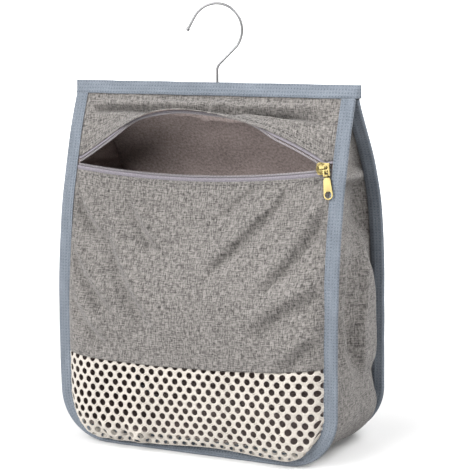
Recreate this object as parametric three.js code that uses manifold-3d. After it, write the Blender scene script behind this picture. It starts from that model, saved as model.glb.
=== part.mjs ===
// Peg bag: a cloth bag with a zipped mouth, a net window at its foot and a swivelling hook on a batten.
// Millimetres, +Z up, front towards -Y, standing on its bound edges at Z = 0.
import * as THREE from 'three';
import * as BufferGeometryUtils from 'three/addons/utils/BufferGeometryUtils.js';
import Module from 'manifold-3d';

const wasm = await Module();
wasm.setup();

// Bag
const BAG_WIDTH = 286; // over the side bindings
const BAG_HEIGHT = 342; // floor to the top edge
const FRONT_DEPTH = 50; // front foot to the top seam
const BACK_DEPTH = 70; // back foot to the top seam
const FRONT_STRAIGHT = 90; // height to which the front stands upright
const BACK_STRAIGHT = 105; // height to which the back stands upright
const FRONT_LEAN = 2.4; // power of the front's curve above that height
const BACK_LEAN = 4; // powers of the back's curve
const BACK_HOLLOW = 1.8;
const CORNER_RADIUS = 50;
const FRONT_BELLY = 18; // how far the filled front swells
const BACK_BELLY = 10;
const BELLY_MARGIN = 8; // flat cloth beside the bindings
const BELLY_EDGE = 40; // width over which the swell rises
const BELLY_FULL = 110; // height up to which the swell is full

// Cloth, bindings and seams
const CLOTH = 0.8;
const TAPE = 0.8; // binding and zip tape
const SEAM_GAP = 0.3; // between sewn layers
const BINDING_WIDTH = 12;
const TOP_BINDING_HEIGHT = 12;
const TOP_BINDING_OVERHANG = 3;
const GUSSET_BOW = 5;
const GUSSET_BENDS = [0, 0.2, 0.5, 0.8, 1]; // places across the bag's depth
const FLANGE_INSET = 1; // gusset's raw edge inside the panel's
const FIN_CLEARANCE = 1.1; // between the gusset and hidden seam allowances

// Net window
const NET_HEIGHT = 88;
const NET_PITCH = 10.2;
const NET_ROW = 7;
const NET_HOLE = 7; // across the corners of a hole
const NET_STRAND = 0.5; // plain net left round the cells
const NET_JOG = 3.5; // run over which the net steps behind the cloth
const NET_ALLOWANCE = 8; // net sewn behind the cloth
const NET_SAG = 1; // dip of its seam in the middle

// Zip
const ZIP_DROP = 72; // top edge to the zip's ends
const ZIP_SAG = 11;
const ZIP_LOW = -18; // place of its lowest point along the bag
const ZIP_FLAT_BELOW = 28; // flat cloth under the zip
const ZIP_FLAT_ABOVE = 19;
const COIL_WIDTH = 2.2;
const COIL_THICKNESS = 2;
const TAPE_SHOW = 3; // tape between coil and cloth
const TAPE_JOG = 0.65;
const TAPE_LAP = 0.2;
const TAPE_ALLOWANCE = 8.5; // tape sewn behind the cloth

// Open mouth
const LIP_RISE = 58; // up the zip's slope
const LIP_REACH = 42; // forward
const LIP_PEAK = 0.47; // place of the highest point, from the left end
const FOLD_DROP = 2; // flat cloth under the top binding

// Slider and pull
const SLIDER_END = 7; // slider centre to the gusset seam
const SLIDER_LENGTH = 12;
const SLIDER_NOSE = 5.6; // half width
const SLIDER_TAIL = 4.2;
const SLIDER_PLATE = 1;
const SLIDER_CLEARANCE = 0.4;
const SLIDER_POST = 2; // width of the wedge between the coils
const SLIDER_POST_LENGTH = 3.6;
const BRIDGE_FOOT = 1.6;
const BRIDGE_WIDTH = 2.4;
const BRIDGE_SPAN = 6.4; // foot centre to foot centre
const BRIDGE_ROOM = 2.8; // clear height under the bridge
const BRIDGE_STRAP = 1.2;
const LINK_WIRE = 1.4;
const LINK_EYE = 3.6; // bore round the bridge's foot
const LINK_LENGTH = 7.5; // eye centre to the bar
const TAB_WIDTH = 8.4; // at the round end
const TAB_SHOULDER = 6.8; // width at the knuckle
const TAB_LENGTH = 21.5; // bar to the round end
const TAB_THICKNESS = 1.4;
const TAB_HOLE = 6.4;
const TAB_KNUCKLE = 3; // width of the knuckle on the link's bar
const KNUCKLE_WALL = 0.9;
const PULL_TILT = 3; // degrees

// Hook and hanger bar
const WIRE = 2.4;
const HOOK_RADIUS = 24;
const HOOK_OFFSET = 4.5; // shank right of the middle
const HOOK_RISE = 48; // top edge to the crook's centre
const HOOK_BEND = 9;
const HOOK_START = 46; // degrees below level where the crook begins
const HOOK_END = 150; // degrees where it runs out
const HOOK_TIP = 13;
const HOOK_BALL = 3.6;
const HOOK_TURN = 11; // degrees about the shank
const HOOK_HEAD = 5.6;
const HOOK_HEAD_HEIGHT = 1.6;
const WASHER = 10;
const WASHER_THICKNESS = 1.2;
const BORE_CLEARANCE = 0.15;
const EYELET_CLEARANCE = 0.4; // round the shank in the cloth
const BAR_HEIGHT = 14;
const BAR_THICKNESS = 8;
const BAR_BEVEL = 2;
const BAR_END_GAP = 2.5;

// Steps of round stretches
const CORNER_STEPS = 7;
const COLUMN_COUNT = 24;
const RISE_STEPS = 4; // cloth facets between the upright foot and the zip
const ROUND_SIDES = 16;
const WIRE_SIDES = 8;
const SLIDER_STEP = 3; // between the columns at the slider
const SLOPE_STEP = 0.5; // over which the flap's slope is taken
const NET_BULGE = 0.01; // share by which the net's frame is drawn in for its division
const WELD = 1e-4;

// Worked-out sizes
const FOOT = TAPE + SEAM_GAP;
const PANEL_HALF = BAG_WIDTH / 2 - FOOT;
const EDGE_RADIUS = CORNER_RADIUS - FOOT;
const TOP = BAG_HEIGHT - TAPE - 2 * SEAM_GAP;
const SIDE_TOP = BAG_HEIGHT - TOP_BINDING_HEIGHT - SEAM_GAP;
const FOLD = SIDE_TOP - FOLD_DROP;
const ZIP_HEIGHT = BAG_HEIGHT - ZIP_DROP;
const ZIP_FOOT = ZIP_HEIGHT - ZIP_FLAT_BELOW;
const ZIP_HEAD = ZIP_HEIGHT + ZIP_FLAT_ABOVE;
const SEAM_HALF = CLOTH / 2 + SEAM_GAP;
const SEAM_Y = (FRONT_DEPTH + FRONT_BELLY - BACK_DEPTH - BACK_BELLY) / 2;
const GUSSET_ROOT = BINDING_WIDTH + CLOTH / 2 + 2 * SEAM_GAP;
const FIN = GUSSET_ROOT + CLOTH / 2;
const INNER_INSET = FIN + FIN_CLEARANCE;
const INNER_HALF = PANEL_HALF - INNER_INSET;
const BELLY_START = BINDING_WIDTH + BELLY_MARGIN;
const HIDDEN = -(CLOTH + SEAM_GAP); // layer of seam allowances behind a panel

// Layers of a bound seam, as offsets out from the panel's middle
const OUTER_LEG = [SEAM_HALF, SEAM_HALF + TAPE];
const FLANGE = [-SEAM_HALF, -SEAM_HALF - CLOTH];
const INNER_LEG = [FLANGE[1] - SEAM_GAP, FLANGE[1] - SEAM_GAP - TAPE];

// Zip measures across the chain
const COIL_NEAR = SEAM_GAP / 2;
const COIL_FAR = COIL_NEAR + COIL_WIDTH;
const TAPE_EDGE = COIL_FAR + SEAM_GAP;
const JOG_START = TAPE_EDGE + TAPE_SHOW;
const JOG_END = JOG_START + TAPE_JOG;
const PANEL_EDGE = JOG_END + TAPE_LAP;
const TAPE_END = PANEL_EDGE + TAPE_ALLOWANCE;
const ZIP_RADIUS = (PANEL_HALF ** 2 + ZIP_SAG ** 2) / (2 * ZIP_SAG);
const SLIDER_X = PANEL_HALF - FIN - SLIDER_END;

const smooth = (t) => {
  const s = THREE.MathUtils.clamp(t, 0, 1);
  return s * s * s * (s * (6 * s - 15) + 10);
};

// Side profiles

const frontCurve = (z) => {
  const t = Math.max(0, (z - FRONT_STRAIGHT) / (TOP - FRONT_STRAIGHT));
  return FRONT_DEPTH * (1 - t ** FRONT_LEAN);
};

const frontDepth = (z) => {
  if (z <= ZIP_FOOT || z >= ZIP_HEAD) return frontCurve(z);
  const share = (z - ZIP_FOOT) / (ZIP_HEAD - ZIP_FOOT);
  return THREE.MathUtils.lerp(frontCurve(ZIP_FOOT), frontCurve(ZIP_HEAD), share);
};

const backDepth = (z) => {
  const t = Math.max(0, (z - BACK_STRAIGHT) / (TOP - BACK_STRAIGHT));
  return BACK_DEPTH * (1 - t ** BACK_LEAN) ** BACK_HOLLOW;
};

const between = (low, high, steps) =>
  Array.from({ length: steps - 1 }, (_, i) => THREE.MathUtils.lerp(low, high, (i + 1) / steps));

// Heights where both sides of the bag bend
const LEVELS = [
  FOOT,
  FRONT_STRAIGHT,
  ...between(FRONT_STRAIGHT, ZIP_FOOT, RISE_STEPS),
  ZIP_FOOT,
  (ZIP_FOOT + ZIP_HEAD) / 2,
  ZIP_HEAD,
  ...between(ZIP_HEAD, FOLD, 3),
  FOLD,
  SIDE_TOP,
  TOP,
];

// Distance in from the panel's cut edge, which is straight at the sides and round at the foot
const insetAt = (x, z) => {
  const across = Math.abs(x) - (PANEL_HALF - EDGE_RADIUS);
  const down = FOOT + EDGE_RADIUS - z;
  if (across > 0 && down > 0) return EDGE_RADIUS - Math.hypot(across, down);
  return Math.min(PANEL_HALF - Math.abs(x), z - FOOT);
};

// One face of the bag: a cloth that bends at the levels and swells between its bound edges
class Side {
  constructor(sign, depthAt, belly) {
    this.sign = sign;
    this.belly = belly;
    this.knots = LEVELS.map((z) => new THREE.Vector2(SEAM_Y + sign * (SEAM_HALF + depthAt(z)), z));
    this.normals = this.knots.slice(1).map((knot, i) => {
      const run = knot.clone().sub(this.knots[i]).normalize();
      return new THREE.Vector2(run.y, -run.x).multiplyScalar(sign);
    });
  }

  facet(z) {
    const above = LEVELS.findIndex((level) => level > z);
    return above < 0 ? LEVELS.length - 2 : Math.max(0, above - 1);
  }

  // Place in the bag's section, offset out from the middle of the cloth and mitred at the bends
  section(z, offset) {
    const i = this.facet(z);
    const share = (z - LEVELS[i]) / (LEVELS[i + 1] - LEVELS[i]);
    const place = this.knots[i].clone().lerp(this.knots[i + 1], share);
    const normal = this.normals[i].clone();
    if (z === LEVELS[i] && i > 0) {
      const below = this.normals[i - 1];
      normal.add(below).divideScalar(1 + below.dot(this.normals[i]));
    }
    return place.addScaledVector(normal, offset);
  }

  flat(x, z, offset) {
    const place = this.section(z, offset);
    return new THREE.Vector3(x, place.x, place.y);
  }

  at(x, z, offset) {
    const rise = smooth((insetAt(x, z) - BELLY_START) / BELLY_EDGE);
    const fade = smooth((ZIP_FOOT - z) / (ZIP_FOOT - BELLY_FULL));
    const place = this.flat(x, z, offset);
    place.y += this.sign * this.belly * rise * fade;
    return place;
  }

  edge(station, inset, offset) {
    return this.flat(station.x - inset * station.out.x, station.z - inset * station.out.y, offset);
  }

  // Across the seam, on the topmost facet carried up or down to a height
  topY(height, offset) {
    const low = this.section((SIDE_TOP + TOP) / 2, offset);
    const high = this.section(TOP, offset);
    return low.x + ((high.x - low.x) * (height - low.y)) / (high.y - low.y);
  }

  // Height where the inner face is a given distance from the seam's plane
  heightAt(distance) {
    const depths = this.knots.map((knot) => Math.abs(knot.x - SEAM_Y) - CLOTH / 2);
    const i = depths.findLastIndex((depth) => depth >= distance);
    const share = (depths[i] - distance) / (depths[i] - depths[i + 1]);
    return THREE.MathUtils.lerp(LEVELS[i], LEVELS[i + 1], share);
  }
}

const front = new Side(-1, frontDepth, FRONT_BELLY);
const back = new Side(1, backDepth, BACK_BELLY);

// Solids from points

// A closed geometry from corner points, three to a triangle, turned so that its faces point out
function closed(corners) {
  let volume = 0;
  for (let i = 0; i < corners.length; i += 3) {
    volume += corners[i].dot(new THREE.Vector3().crossVectors(corners[i + 1], corners[i + 2]));
  }
  const outward = volume < 0 ? corners.toReversed() : corners;
  return BufferGeometryUtils.mergeVertices(new THREE.BufferGeometry().setFromPoints(outward), WELD);
}

function cap(ring) {
  const normal = new THREE.Vector3();
  ring.forEach((point, i) => {
    normal.add(new THREE.Vector3().crossVectors(point, ring[(i + 1) % ring.length]));
  });
  const level = new THREE.Quaternion().setFromUnitVectors(normal.normalize(), new THREE.Vector3(0, 0, 1));
  const flat = ring.map((point) => point.clone().applyQuaternion(level));
  const contour = flat.map((point) => new THREE.Vector2(point.x, point.y));
  return THREE.ShapeUtils.triangulateShape(contour, []).flat().map((i) => ring[i]);
}

function loft(rings) {
  const corners = [...cap(rings[0]), ...cap(rings.at(-1)).reverse()];
  for (let r = 0; r + 1 < rings.length; r += 1) {
    rings[r].forEach((a, i) => {
      const j = (i + 1) % rings[r].length;
      const b = rings[r][j];
      const c = rings[r + 1][j];
      const d = rings[r + 1][i];
      corners.push(a, d, c, a, c, b);
    });
  }
  return closed(corners);
}

// A cloth from a flat pattern: each point gives its place at an offset from the cloth's middle
function sheet({ points, triangles }, thickness) {
  const face = points.map((point) => point(thickness / 2));
  const rear = points.map((point) => point(-thickness / 2));
  const edges = new Set();
  const corners = [];
  for (const triangle of triangles) {
    corners.push(...triangle.map((i) => face[i]), ...triangle.toReversed().map((i) => rear[i]));
    triangle.forEach((a, k) => edges.add(`${a} ${triangle[(k + 1) % 3]}`));
  }
  for (const edge of edges) {
    const [a, b] = edge.split(' ').map(Number);
    if (!edges.has(`${b} ${a}`)) corners.push(face[b], face[a], rear[a], face[b], rear[a], rear[b]);
  }
  return closed(corners);
}

// A pattern of columns and rows, where a row gives the place for a column's x and an offset
function grid(columns, rows, isCut = () => false) {
  const points = rows.flatMap((row) => columns.map((x) => (offset) => row(x, offset)));
  const triangles = [];
  for (let r = 0; r + 1 < rows.length; r += 1) {
    for (let c = 0; c + 1 < columns.length; c += 1) {
      if (isCut(columns[c], columns[c + 1], r)) continue;
      const a = r * columns.length + c;
      const d = a + columns.length;
      triangles.push([a, a + 1, d + 1], [a, d + 1, d]);
    }
  }
  return { points, triangles };
}

function solidOf(geometry) {
  const bare = geometry.clone();
  bare.deleteAttribute('normal');
  bare.deleteAttribute('uv');
  const merged = BufferGeometryUtils.mergeVertices(bare, WELD);
  const vertProperties = merged.getAttribute('position').array;
  const triVerts = Uint32Array.from(merged.getIndex().array);
  return new wasm.Manifold(new wasm.Mesh({ numProp: 3, vertProperties, triVerts }));
}

function geometryOf(solid) {
  const { vertProperties, triVerts } = solid.getMesh();
  const geometry = new THREE.BufferGeometry();
  geometry.setAttribute('position', new THREE.BufferAttribute(vertProperties, 3));
  geometry.setIndex(new THREE.BufferAttribute(triVerts, 1));
  return geometry;
}

const joined = (...geometries) => geometryOf(geometries.map(solidOf).reduce((all, next) => all.add(next)));
const cut = (body, ...tools) =>
  geometryOf(tools.map(solidOf).reduce((rest, tool) => rest.subtract(tool), solidOf(body)));

const shapeOf = (points) => new THREE.Shape(points.map(([x, y]) => new THREE.Vector2(x, y)));

// A shape given a thickness, half on each side of its plane
function slab(shape, thickness) {
  const options = { depth: thickness, bevelEnabled: false, curveSegments: ROUND_SIDES / 2 };
  return new THREE.ExtrudeGeometry(shape, options).translate(0, 0, -thickness / 2);
}

const rodAlongX = (radius, length) =>
  new THREE.CylinderGeometry(radius, radius, length, ROUND_SIDES).rotateZ(Math.PI / 2);
const rodAlongZ = (radius, length) =>
  new THREE.CylinderGeometry(radius, radius, length, ROUND_SIDES).rotateX(Math.PI / 2);

// Bound edges

// Stations round a panel's cut edge, down its left side from the highest of the heights, and up its right
function edgeStations(heights) {
  const leftSide = heights.toSorted((a, b) => b - a).map((z) => ({
    x: -PANEL_HALF,
    z,
    out: new THREE.Vector2(-1, 0),
  }));
  const corner = Array.from({ length: CORNER_STEPS + 1 }, (_, i) => {
    const angle = Math.PI + (i / CORNER_STEPS) * (Math.PI / 2);
    const out = new THREE.Vector2(Math.cos(angle), Math.sin(angle));
    return { x: EDGE_RADIUS - PANEL_HALF + EDGE_RADIUS * out.x, z: FOOT + EDGE_RADIUS * (1 + out.y), out };
  });
  const left = [...leftSide, ...corner];
  const right = left.map(({ x, z, out }) => ({ x: -x, z, out: new THREE.Vector2(-out.x, out.y) }));
  return [...left, ...right.reverse()];
}

const seamStations = edgeStations(LEVELS.filter((z) => z > FOOT + EDGE_RADIUS && z <= SIDE_TOP));

function sideBinding(side) {
  const rings = seamStations.map((station) => [
    side.edge(station, BINDING_WIDTH, OUTER_LEG[1]),
    side.edge(station, -FOOT, OUTER_LEG[1]),
    side.edge(station, -FOOT, INNER_LEG[1]),
    side.edge(station, BINDING_WIDTH, INNER_LEG[1]),
    side.edge(station, BINDING_WIDTH, INNER_LEG[0]),
    side.edge(station, -SEAM_GAP, INNER_LEG[0]),
    side.edge(station, -SEAM_GAP, OUTER_LEG[0]),
    side.edge(station, BINDING_WIDTH, OUTER_LEG[0]),
  ]);
  return loft(rings);
}

// Side and foot of the bag in one strip, with a flange sewn into each binding
function gusset() {
  const rings = seamStations.map((station) => {
    const depth = front.edge(station, 0, 0).distanceTo(back.edge(station, 0, 0));
    const bow = (GUSSET_BOW * depth) / (FRONT_DEPTH + BACK_DEPTH);
    const strip = (root, offset) => [
      front.edge(station, FLANGE_INSET, offset),
      ...GUSSET_BENDS.map((share) => {
        const inset = root - bow * Math.sin(share * Math.PI) ** 2;
        return front.edge(station, inset, offset).lerp(back.edge(station, inset, offset), share);
      }),
      back.edge(station, FLANGE_INSET, offset),
    ];
    const outside = strip(GUSSET_ROOT - CLOTH / 2, FLANGE[1]);
    const inside = strip(FIN, FLANGE[0]);
    return [...outside, ...inside.reverse()];
  });
  return loft(rings);
}

// Shank's way through the cloth at the top edge
const hookHole = rodAlongZ(WIRE / 2 + EYELET_CLEARANCE, TOP_BINDING_HEIGHT * 2);
hookHole.translate(HOOK_OFFSET, SEAM_Y, BAG_HEIGHT);

function topBinding() {
  const half = BAG_WIDTH / 2 + TOP_BINDING_OVERHANG;
  const foot = SIDE_TOP + SEAM_GAP;
  const section = [
    front.section(foot, OUTER_LEG[1]),
    new THREE.Vector2(front.topY(BAG_HEIGHT, OUTER_LEG[1]), BAG_HEIGHT),
    new THREE.Vector2(back.topY(BAG_HEIGHT, OUTER_LEG[1]), BAG_HEIGHT),
    back.section(foot, OUTER_LEG[1]),
    back.section(foot, OUTER_LEG[0]),
    new THREE.Vector2(back.topY(BAG_HEIGHT - TAPE, OUTER_LEG[0]), BAG_HEIGHT - TAPE),
    new THREE.Vector2(front.topY(BAG_HEIGHT - TAPE, OUTER_LEG[0]), BAG_HEIGHT - TAPE),
    front.section(foot, OUTER_LEG[0]),
  ];
  const rings = [-half, half].map((x) => section.map((place) => new THREE.Vector3(x, place.x, place.y)));
  return cut(loft(rings), hookHole);
}

// Panels

// Columns shared by everything that is sewn along the front, closer together at the slider
const sliderColumns = [-3, -2, -1, 0].map((step) => SLIDER_X + step * SLIDER_STEP);
const innerColumns = [
  -INNER_HALF,
  ...between(-INNER_HALF, INNER_HALF, COLUMN_COUNT).filter((x) => x < sliderColumns[0] - SLIDER_STEP),
  ...sliderColumns,
  (SLIDER_X + INNER_HALF) / 2,
  INNER_HALF,
];
const columns = [-PANEL_HALF, ...innerColumns, PANEL_HALF];

function backPanel() {
  const margin = FOOT;
  const half = PANEL_HALF + margin;
  const swell = (share) => BELLY_START + BELLY_EDGE * share;
  const side = [0, 1 / 3, 1].map((share) => PANEL_HALF - swell(share));
  const left = [-half, ...side.map((x) => -x)];
  const across = [...left, ...between(-side[2], side[2], 4), ...side.toReversed(), half];
  const foot = [0, 1 / 3, 3 / 4].map((share) => FOOT + swell(share));
  const heights = [FOOT - margin, ...foot, ...LEVELS.slice(1)];
  const rows = heights.map((z) => (x, offset) => back.at(x, z, offset));
  const cloth = sheet(grid(across, rows), CLOTH);
  const outline = edgeStations([BAG_HEIGHT]).map(({ x, z }) => [x, z]);
  const prism = slab(shapeOf(outline), 4 * (FRONT_DEPTH + BACK_DEPTH)).rotateX(Math.PI / 2);
  return cut(geometryOf(solidOf(cloth).intersect(solidOf(prism))), hookHole);
}

// The zip's plane: x along the bag, v up the slope from the lowest point of the zip, offset outwards
const zipUp = front.flat(0, ZIP_HEAD, 0).sub(front.flat(0, ZIP_FOOT, 0)).normalize();
const zipOut = new THREE.Vector3(1, 0, 0).cross(zipUp);
const zipLow = ZIP_HEIGHT - ZIP_SAG * zipUp.z;
const zipOrigin = front.flat(0, zipLow, 0);

const zipPoint = (x, v, offset) =>
  zipOrigin.clone().addScaledVector(zipUp, v).addScaledVector(zipOut, offset).add(new THREE.Vector3(x, 0, 0));

// Slope height of a line that follows the sagging zip, a distance below it
const zipLine = (x, below) => ZIP_RADIUS - Math.sqrt((ZIP_RADIUS + below) ** 2 - (x - ZIP_LOW) ** 2);
const zipLineHeight = (x, below) => zipLow + zipLine(x, below) * zipUp.z;

function lowerPanel() {
  const foot = NET_HEIGHT + SEAM_GAP / 2;
  const heights = [foot, ...LEVELS.filter((z) => z > foot + 1 && z <= ZIP_FOOT)];
  const rows = [
    ...heights.map((z) => (x, offset) => front.at(x, z, offset)),
    (x, offset) => front.flat(x, zipLineHeight(x, PANEL_EDGE), offset),
  ];
  return sheet(grid(columns, rows), CLOTH);
}

// Six corners from the right shoulder round to the left, as seen from the front
const hexagon = (x, z, half, rise) => [
  [x + half, z + rise / 2],
  [x, z + rise],
  [x - half, z + rise / 2],
  [x - half, z - rise / 2],
  [x, z - rise],
  [x + half, z - rise / 2],
];

// Staggered cells of the net that fit in the window
function netCells(top) {
  const cells = [];
  const rise = (NET_ROW * 2) / 3;
  const count = Math.ceil(INNER_HALF / NET_PITCH);
  const fits = ([x, z]) => insetAt(x, z) > INNER_INSET + NET_STRAND && z < top - NET_STRAND;
  for (let row = 0, z = top - NET_ROW; z > FOOT; row += 1, z -= NET_ROW) {
    for (let i = -count; i <= count; i += 1) {
      const x = (i + (row % 2) / 2) * NET_PITCH;
      const cell = hexagon(x, z, NET_PITCH / 2, rise);
      const hole = hexagon(x, z, (NET_HOLE / 2) * Math.cos(Math.PI / 6), NET_HOLE / 2);
      if (cell.every(fits)) cells.push({ cell, hole });
    }
  }
  return cells;
}

// Net: a plain band in the seam, the open window, and an allowance that steps behind the cloth above
function meshPanel() {
  const top = NET_HEIGHT - SEAM_GAP / 2;
  const seam = NET_HEIGHT - NET_JOG - SEAM_GAP;
  const seamAt = (x) => seam - NET_SAG * (1 - (x / INNER_HALF) ** 2);
  const points = [];
  const triangles = [];
  const point = (x, z, layer = 0) => points.push((offset) => front.at(x, z, layer + offset)) - 1;
  const band = edgeStations([seam, top]);
  const outer = band.map(({ x, z }) => point(x, z));
  const innerPlaces = band.map(({ x, z, out }) => [x - INNER_INSET * out.x, z - INNER_INSET * out.y]);
  const inner = innerPlaces.map(([x, z]) => point(x, z));
  for (let i = 0; i + 1 < band.length; i += 1) {
    triangles.push([outer[i], outer[i + 1], inner[i + 1]], [outer[i], inner[i + 1], inner[i]]);
  }

  const corners = new Map();
  const following = new Map();
  const cornerAt = (place) => {
    const key = place.map((value) => value.toFixed(3)).join(' ');
    if (!corners.has(key)) corners.set(key, { place, index: point(...place) });
    return corners.get(key);
  };
  for (const { cell, hole } of netCells(seam - NET_SAG)) {
    const rim = cell.map(cornerAt);
    const gap = hole.map(([x, z]) => point(x, z));
    rim.forEach((corner, k) => {
      const next = (k + 1) % rim.length;
      triangles.push([corner.index, rim[next].index, gap[next]], [corner.index, gap[next], gap[k]]);
      const isShared = following.get(rim[next])?.delete(corner);
      if (!isShared) following.set(corner, (following.get(corner) ?? new Set()).add(rim[next]));
    });
  }
  const meshEdge = [following.keys().find((corner) => following.get(corner).size > 0)];
  for (let next; next !== meshEdge[0]; meshEdge.push(next)) [next] = following.get(meshEdge.at(-1));
  meshEdge.pop();

  const tabHalf = INNER_HALF - 2 * SEAM_GAP;
  const across = [-tabHalf, ...innerColumns.filter((x) => Math.abs(x) < tabHalf - 1), tabHalf];
  const seamRow = across.map((x) => point(x, seamAt(x)));
  const seamEdge = across.map((x, i) => ({ place: [x, seamAt(x)], index: seamRow[i] }));
  const boundEdge = innerPlaces.map((place, i) => ({ place, index: inner[i] })).slice(1, -1);
  const outline = [...boundEdge, ...seamEdge.toReversed()];

  // Plain net between the cells and the seams, in patches from each point of its outline to the next
  const count = meshEdge.length;
  const nearest = ([x, z]) => {
    const away = meshEdge.map(({ place }) => Math.hypot(place[0] - x, place[1] - z));
    return away.indexOf(Math.min(...away));
  };
  const ties = outline.map(({ place }) => nearest(place));
  // Drawn in a little towards its ends for the division into triangles, so that no edge of cells is straight
  const bulged = ({ place: [x, z] }) => {
    const flat = new THREE.Vector2(x, z - seam / 2);
    return flat.multiplyScalar(1 - NET_BULGE * (x / INNER_HALF) ** 2);
  };
  outline.forEach((corner, k) => {
    const next = (k + 1) % outline.length;
    const steps = (ties[next] - ties[k] + count) % count;
    const run = Array.from({ length: steps + 1 }, (_, i) => meshEdge[(ties[k] + steps - i) % count]);
    const patch = [corner, outline[next], ...run];
    for (const triangle of THREE.ShapeUtils.triangulateShape(patch.map(bulged), [])) {
      triangles.push(triangle.map((i) => patch[i].index));
    }
  });

  const hiddenRow = (z) => across.map((x) => point(x, z, HIDDEN));
  const hiddenRows = [hiddenRow(NET_HEIGHT - SEAM_GAP), hiddenRow(NET_HEIGHT + NET_ALLOWANCE)];
  [seamRow, hiddenRows[0]].forEach((low, r) => {
    const high = hiddenRows[r];
    for (let c = 0; c + 1 < across.length; c += 1) {
      triangles.push([low[c], low[c + 1], high[c + 1]], [low[c], high[c + 1], high[c]]);
    }
  });
  return sheet({ points, triangles }, CLOTH);
}

// Flap above the zip, lifted between the slider and the left seam into the open mouth

const flapEdge = (x) => zipLineHeight(x, -PANEL_EDGE);

const mouthLift = (x) => {
  const u = (x + INNER_HALF) / (SLIDER_X + INNER_HALF);
  const share = u < LIP_PEAK ? u / LIP_PEAK : (1 - u) / (1 - LIP_PEAK);
  return Math.sin((THREE.MathUtils.clamp(share, 0, 1) * Math.PI) / 2);
};

function flapMiddle(x, z) {
  const lift = mouthLift(x);
  const share = Math.max(0, (FOLD - z) / (FOLD - flapEdge(x)));
  const place = front.flat(x, z, 0);
  place.y -= LIP_REACH * lift ** 2 * Math.sin((share * Math.PI) / 2);
  return place.addScaledVector(zipUp, LIP_RISE * lift * share);
}

function flapFrame(x, z) {
  const along = flapMiddle(x + SLOPE_STEP, z).sub(flapMiddle(x - SLOPE_STEP, z));
  const up = flapMiddle(x, z + SLOPE_STEP).sub(flapMiddle(x, z - SLOPE_STEP)).normalize();
  return { up, out: along.cross(up).normalize() };
}

const inFin = (x) => Math.abs(x) >= INNER_HALF;

const flapAt = (x, z, offset) =>
  inFin(x) ? front.flat(x, z, offset) : flapMiddle(x, z).addScaledVector(flapFrame(x, z).out, offset);

// Beyond the flap's cut edge, towards the zip
function lipAt(x, below, offset) {
  if (inFin(x)) return zipPoint(x, zipLine(x, -PANEL_EDGE) - below, offset);
  const { up, out } = flapFrame(x, flapEdge(x));
  return flapMiddle(x, flapEdge(x)).addScaledVector(up, -below).addScaledVector(out, offset);
}

function upperPanel() {
  const heights = LEVELS.filter((z) => z >= ZIP_HEAD);
  const rows = [
    (x, offset) => flapAt(x, flapEdge(x), offset),
    (x, offset) => flapAt(x, zipLineHeight(x, -TAPE_END), offset),
    ...heights.map((z) => (x, offset) => flapAt(x, z, offset)),
  ];
  return cut(sheet(grid(columns, rows), CLOTH), hookHole);
}

// Zip

// Only the shown strip of a tape runs on into the bound seams
const isTapeCut = (left, right, row) => row > 0 && Math.abs(left + right) > 2 * INNER_HALF;

function lowerTape() {
  const line = (below, layer) => (x, offset) => zipPoint(x, zipLine(x, below), layer + offset);
  const rows = [line(TAPE_END, HIDDEN), line(JOG_END, HIDDEN), line(JOG_START, 0), line(TAPE_EDGE, 0)];
  return sheet(grid(columns, rows.toReversed(), isTapeCut), TAPE);
}

function upperTape() {
  const lip = (above, layer) => (x, offset) => lipAt(x, PANEL_EDGE - above, layer + offset);
  const hem = (x, offset) => flapAt(x, zipLineHeight(x, -TAPE_END), HIDDEN + offset);
  const rows = [lip(TAPE_EDGE, 0), lip(JOG_START, 0), lip(JOG_END, HIDDEN), hem];
  return sheet(grid(columns, rows, isTapeCut), TAPE);
}

function coil(placeAt) {
  const chamfer = COIL_WIDTH / 4;
  const half = COIL_THICKNESS / 2;
  const section = [
    [COIL_NEAR, half / 2],
    [COIL_NEAR + chamfer, half],
    [COIL_FAR - chamfer, half],
    [COIL_FAR, half / 2],
    [COIL_FAR, -half / 2],
    [COIL_FAR - chamfer, -half],
    [COIL_NEAR + chamfer, -half],
    [COIL_NEAR, -half / 2],
  ];
  return loft(innerColumns.map((x) => section.map(([away, offset]) => placeAt(x, away, offset))));
}

const lowerCoil = () => coil((x, away, offset) => zipPoint(x, zipLine(x, away), offset));
const upperCoil = () => coil((x, away, offset) => lipAt(x, PANEL_EDGE - away, offset));

// Slider, in its own frame: x along the zip towards the closed end, y up, z out of the bag

const PLATE_INSIDE = COIL_THICKNESS / 2 + SLIDER_CLEARANCE;
const PLATE_OUTSIDE = PLATE_INSIDE + SLIDER_PLATE;
const LINK_Z = PLATE_OUTSIDE + BRIDGE_ROOM / 2;

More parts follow.
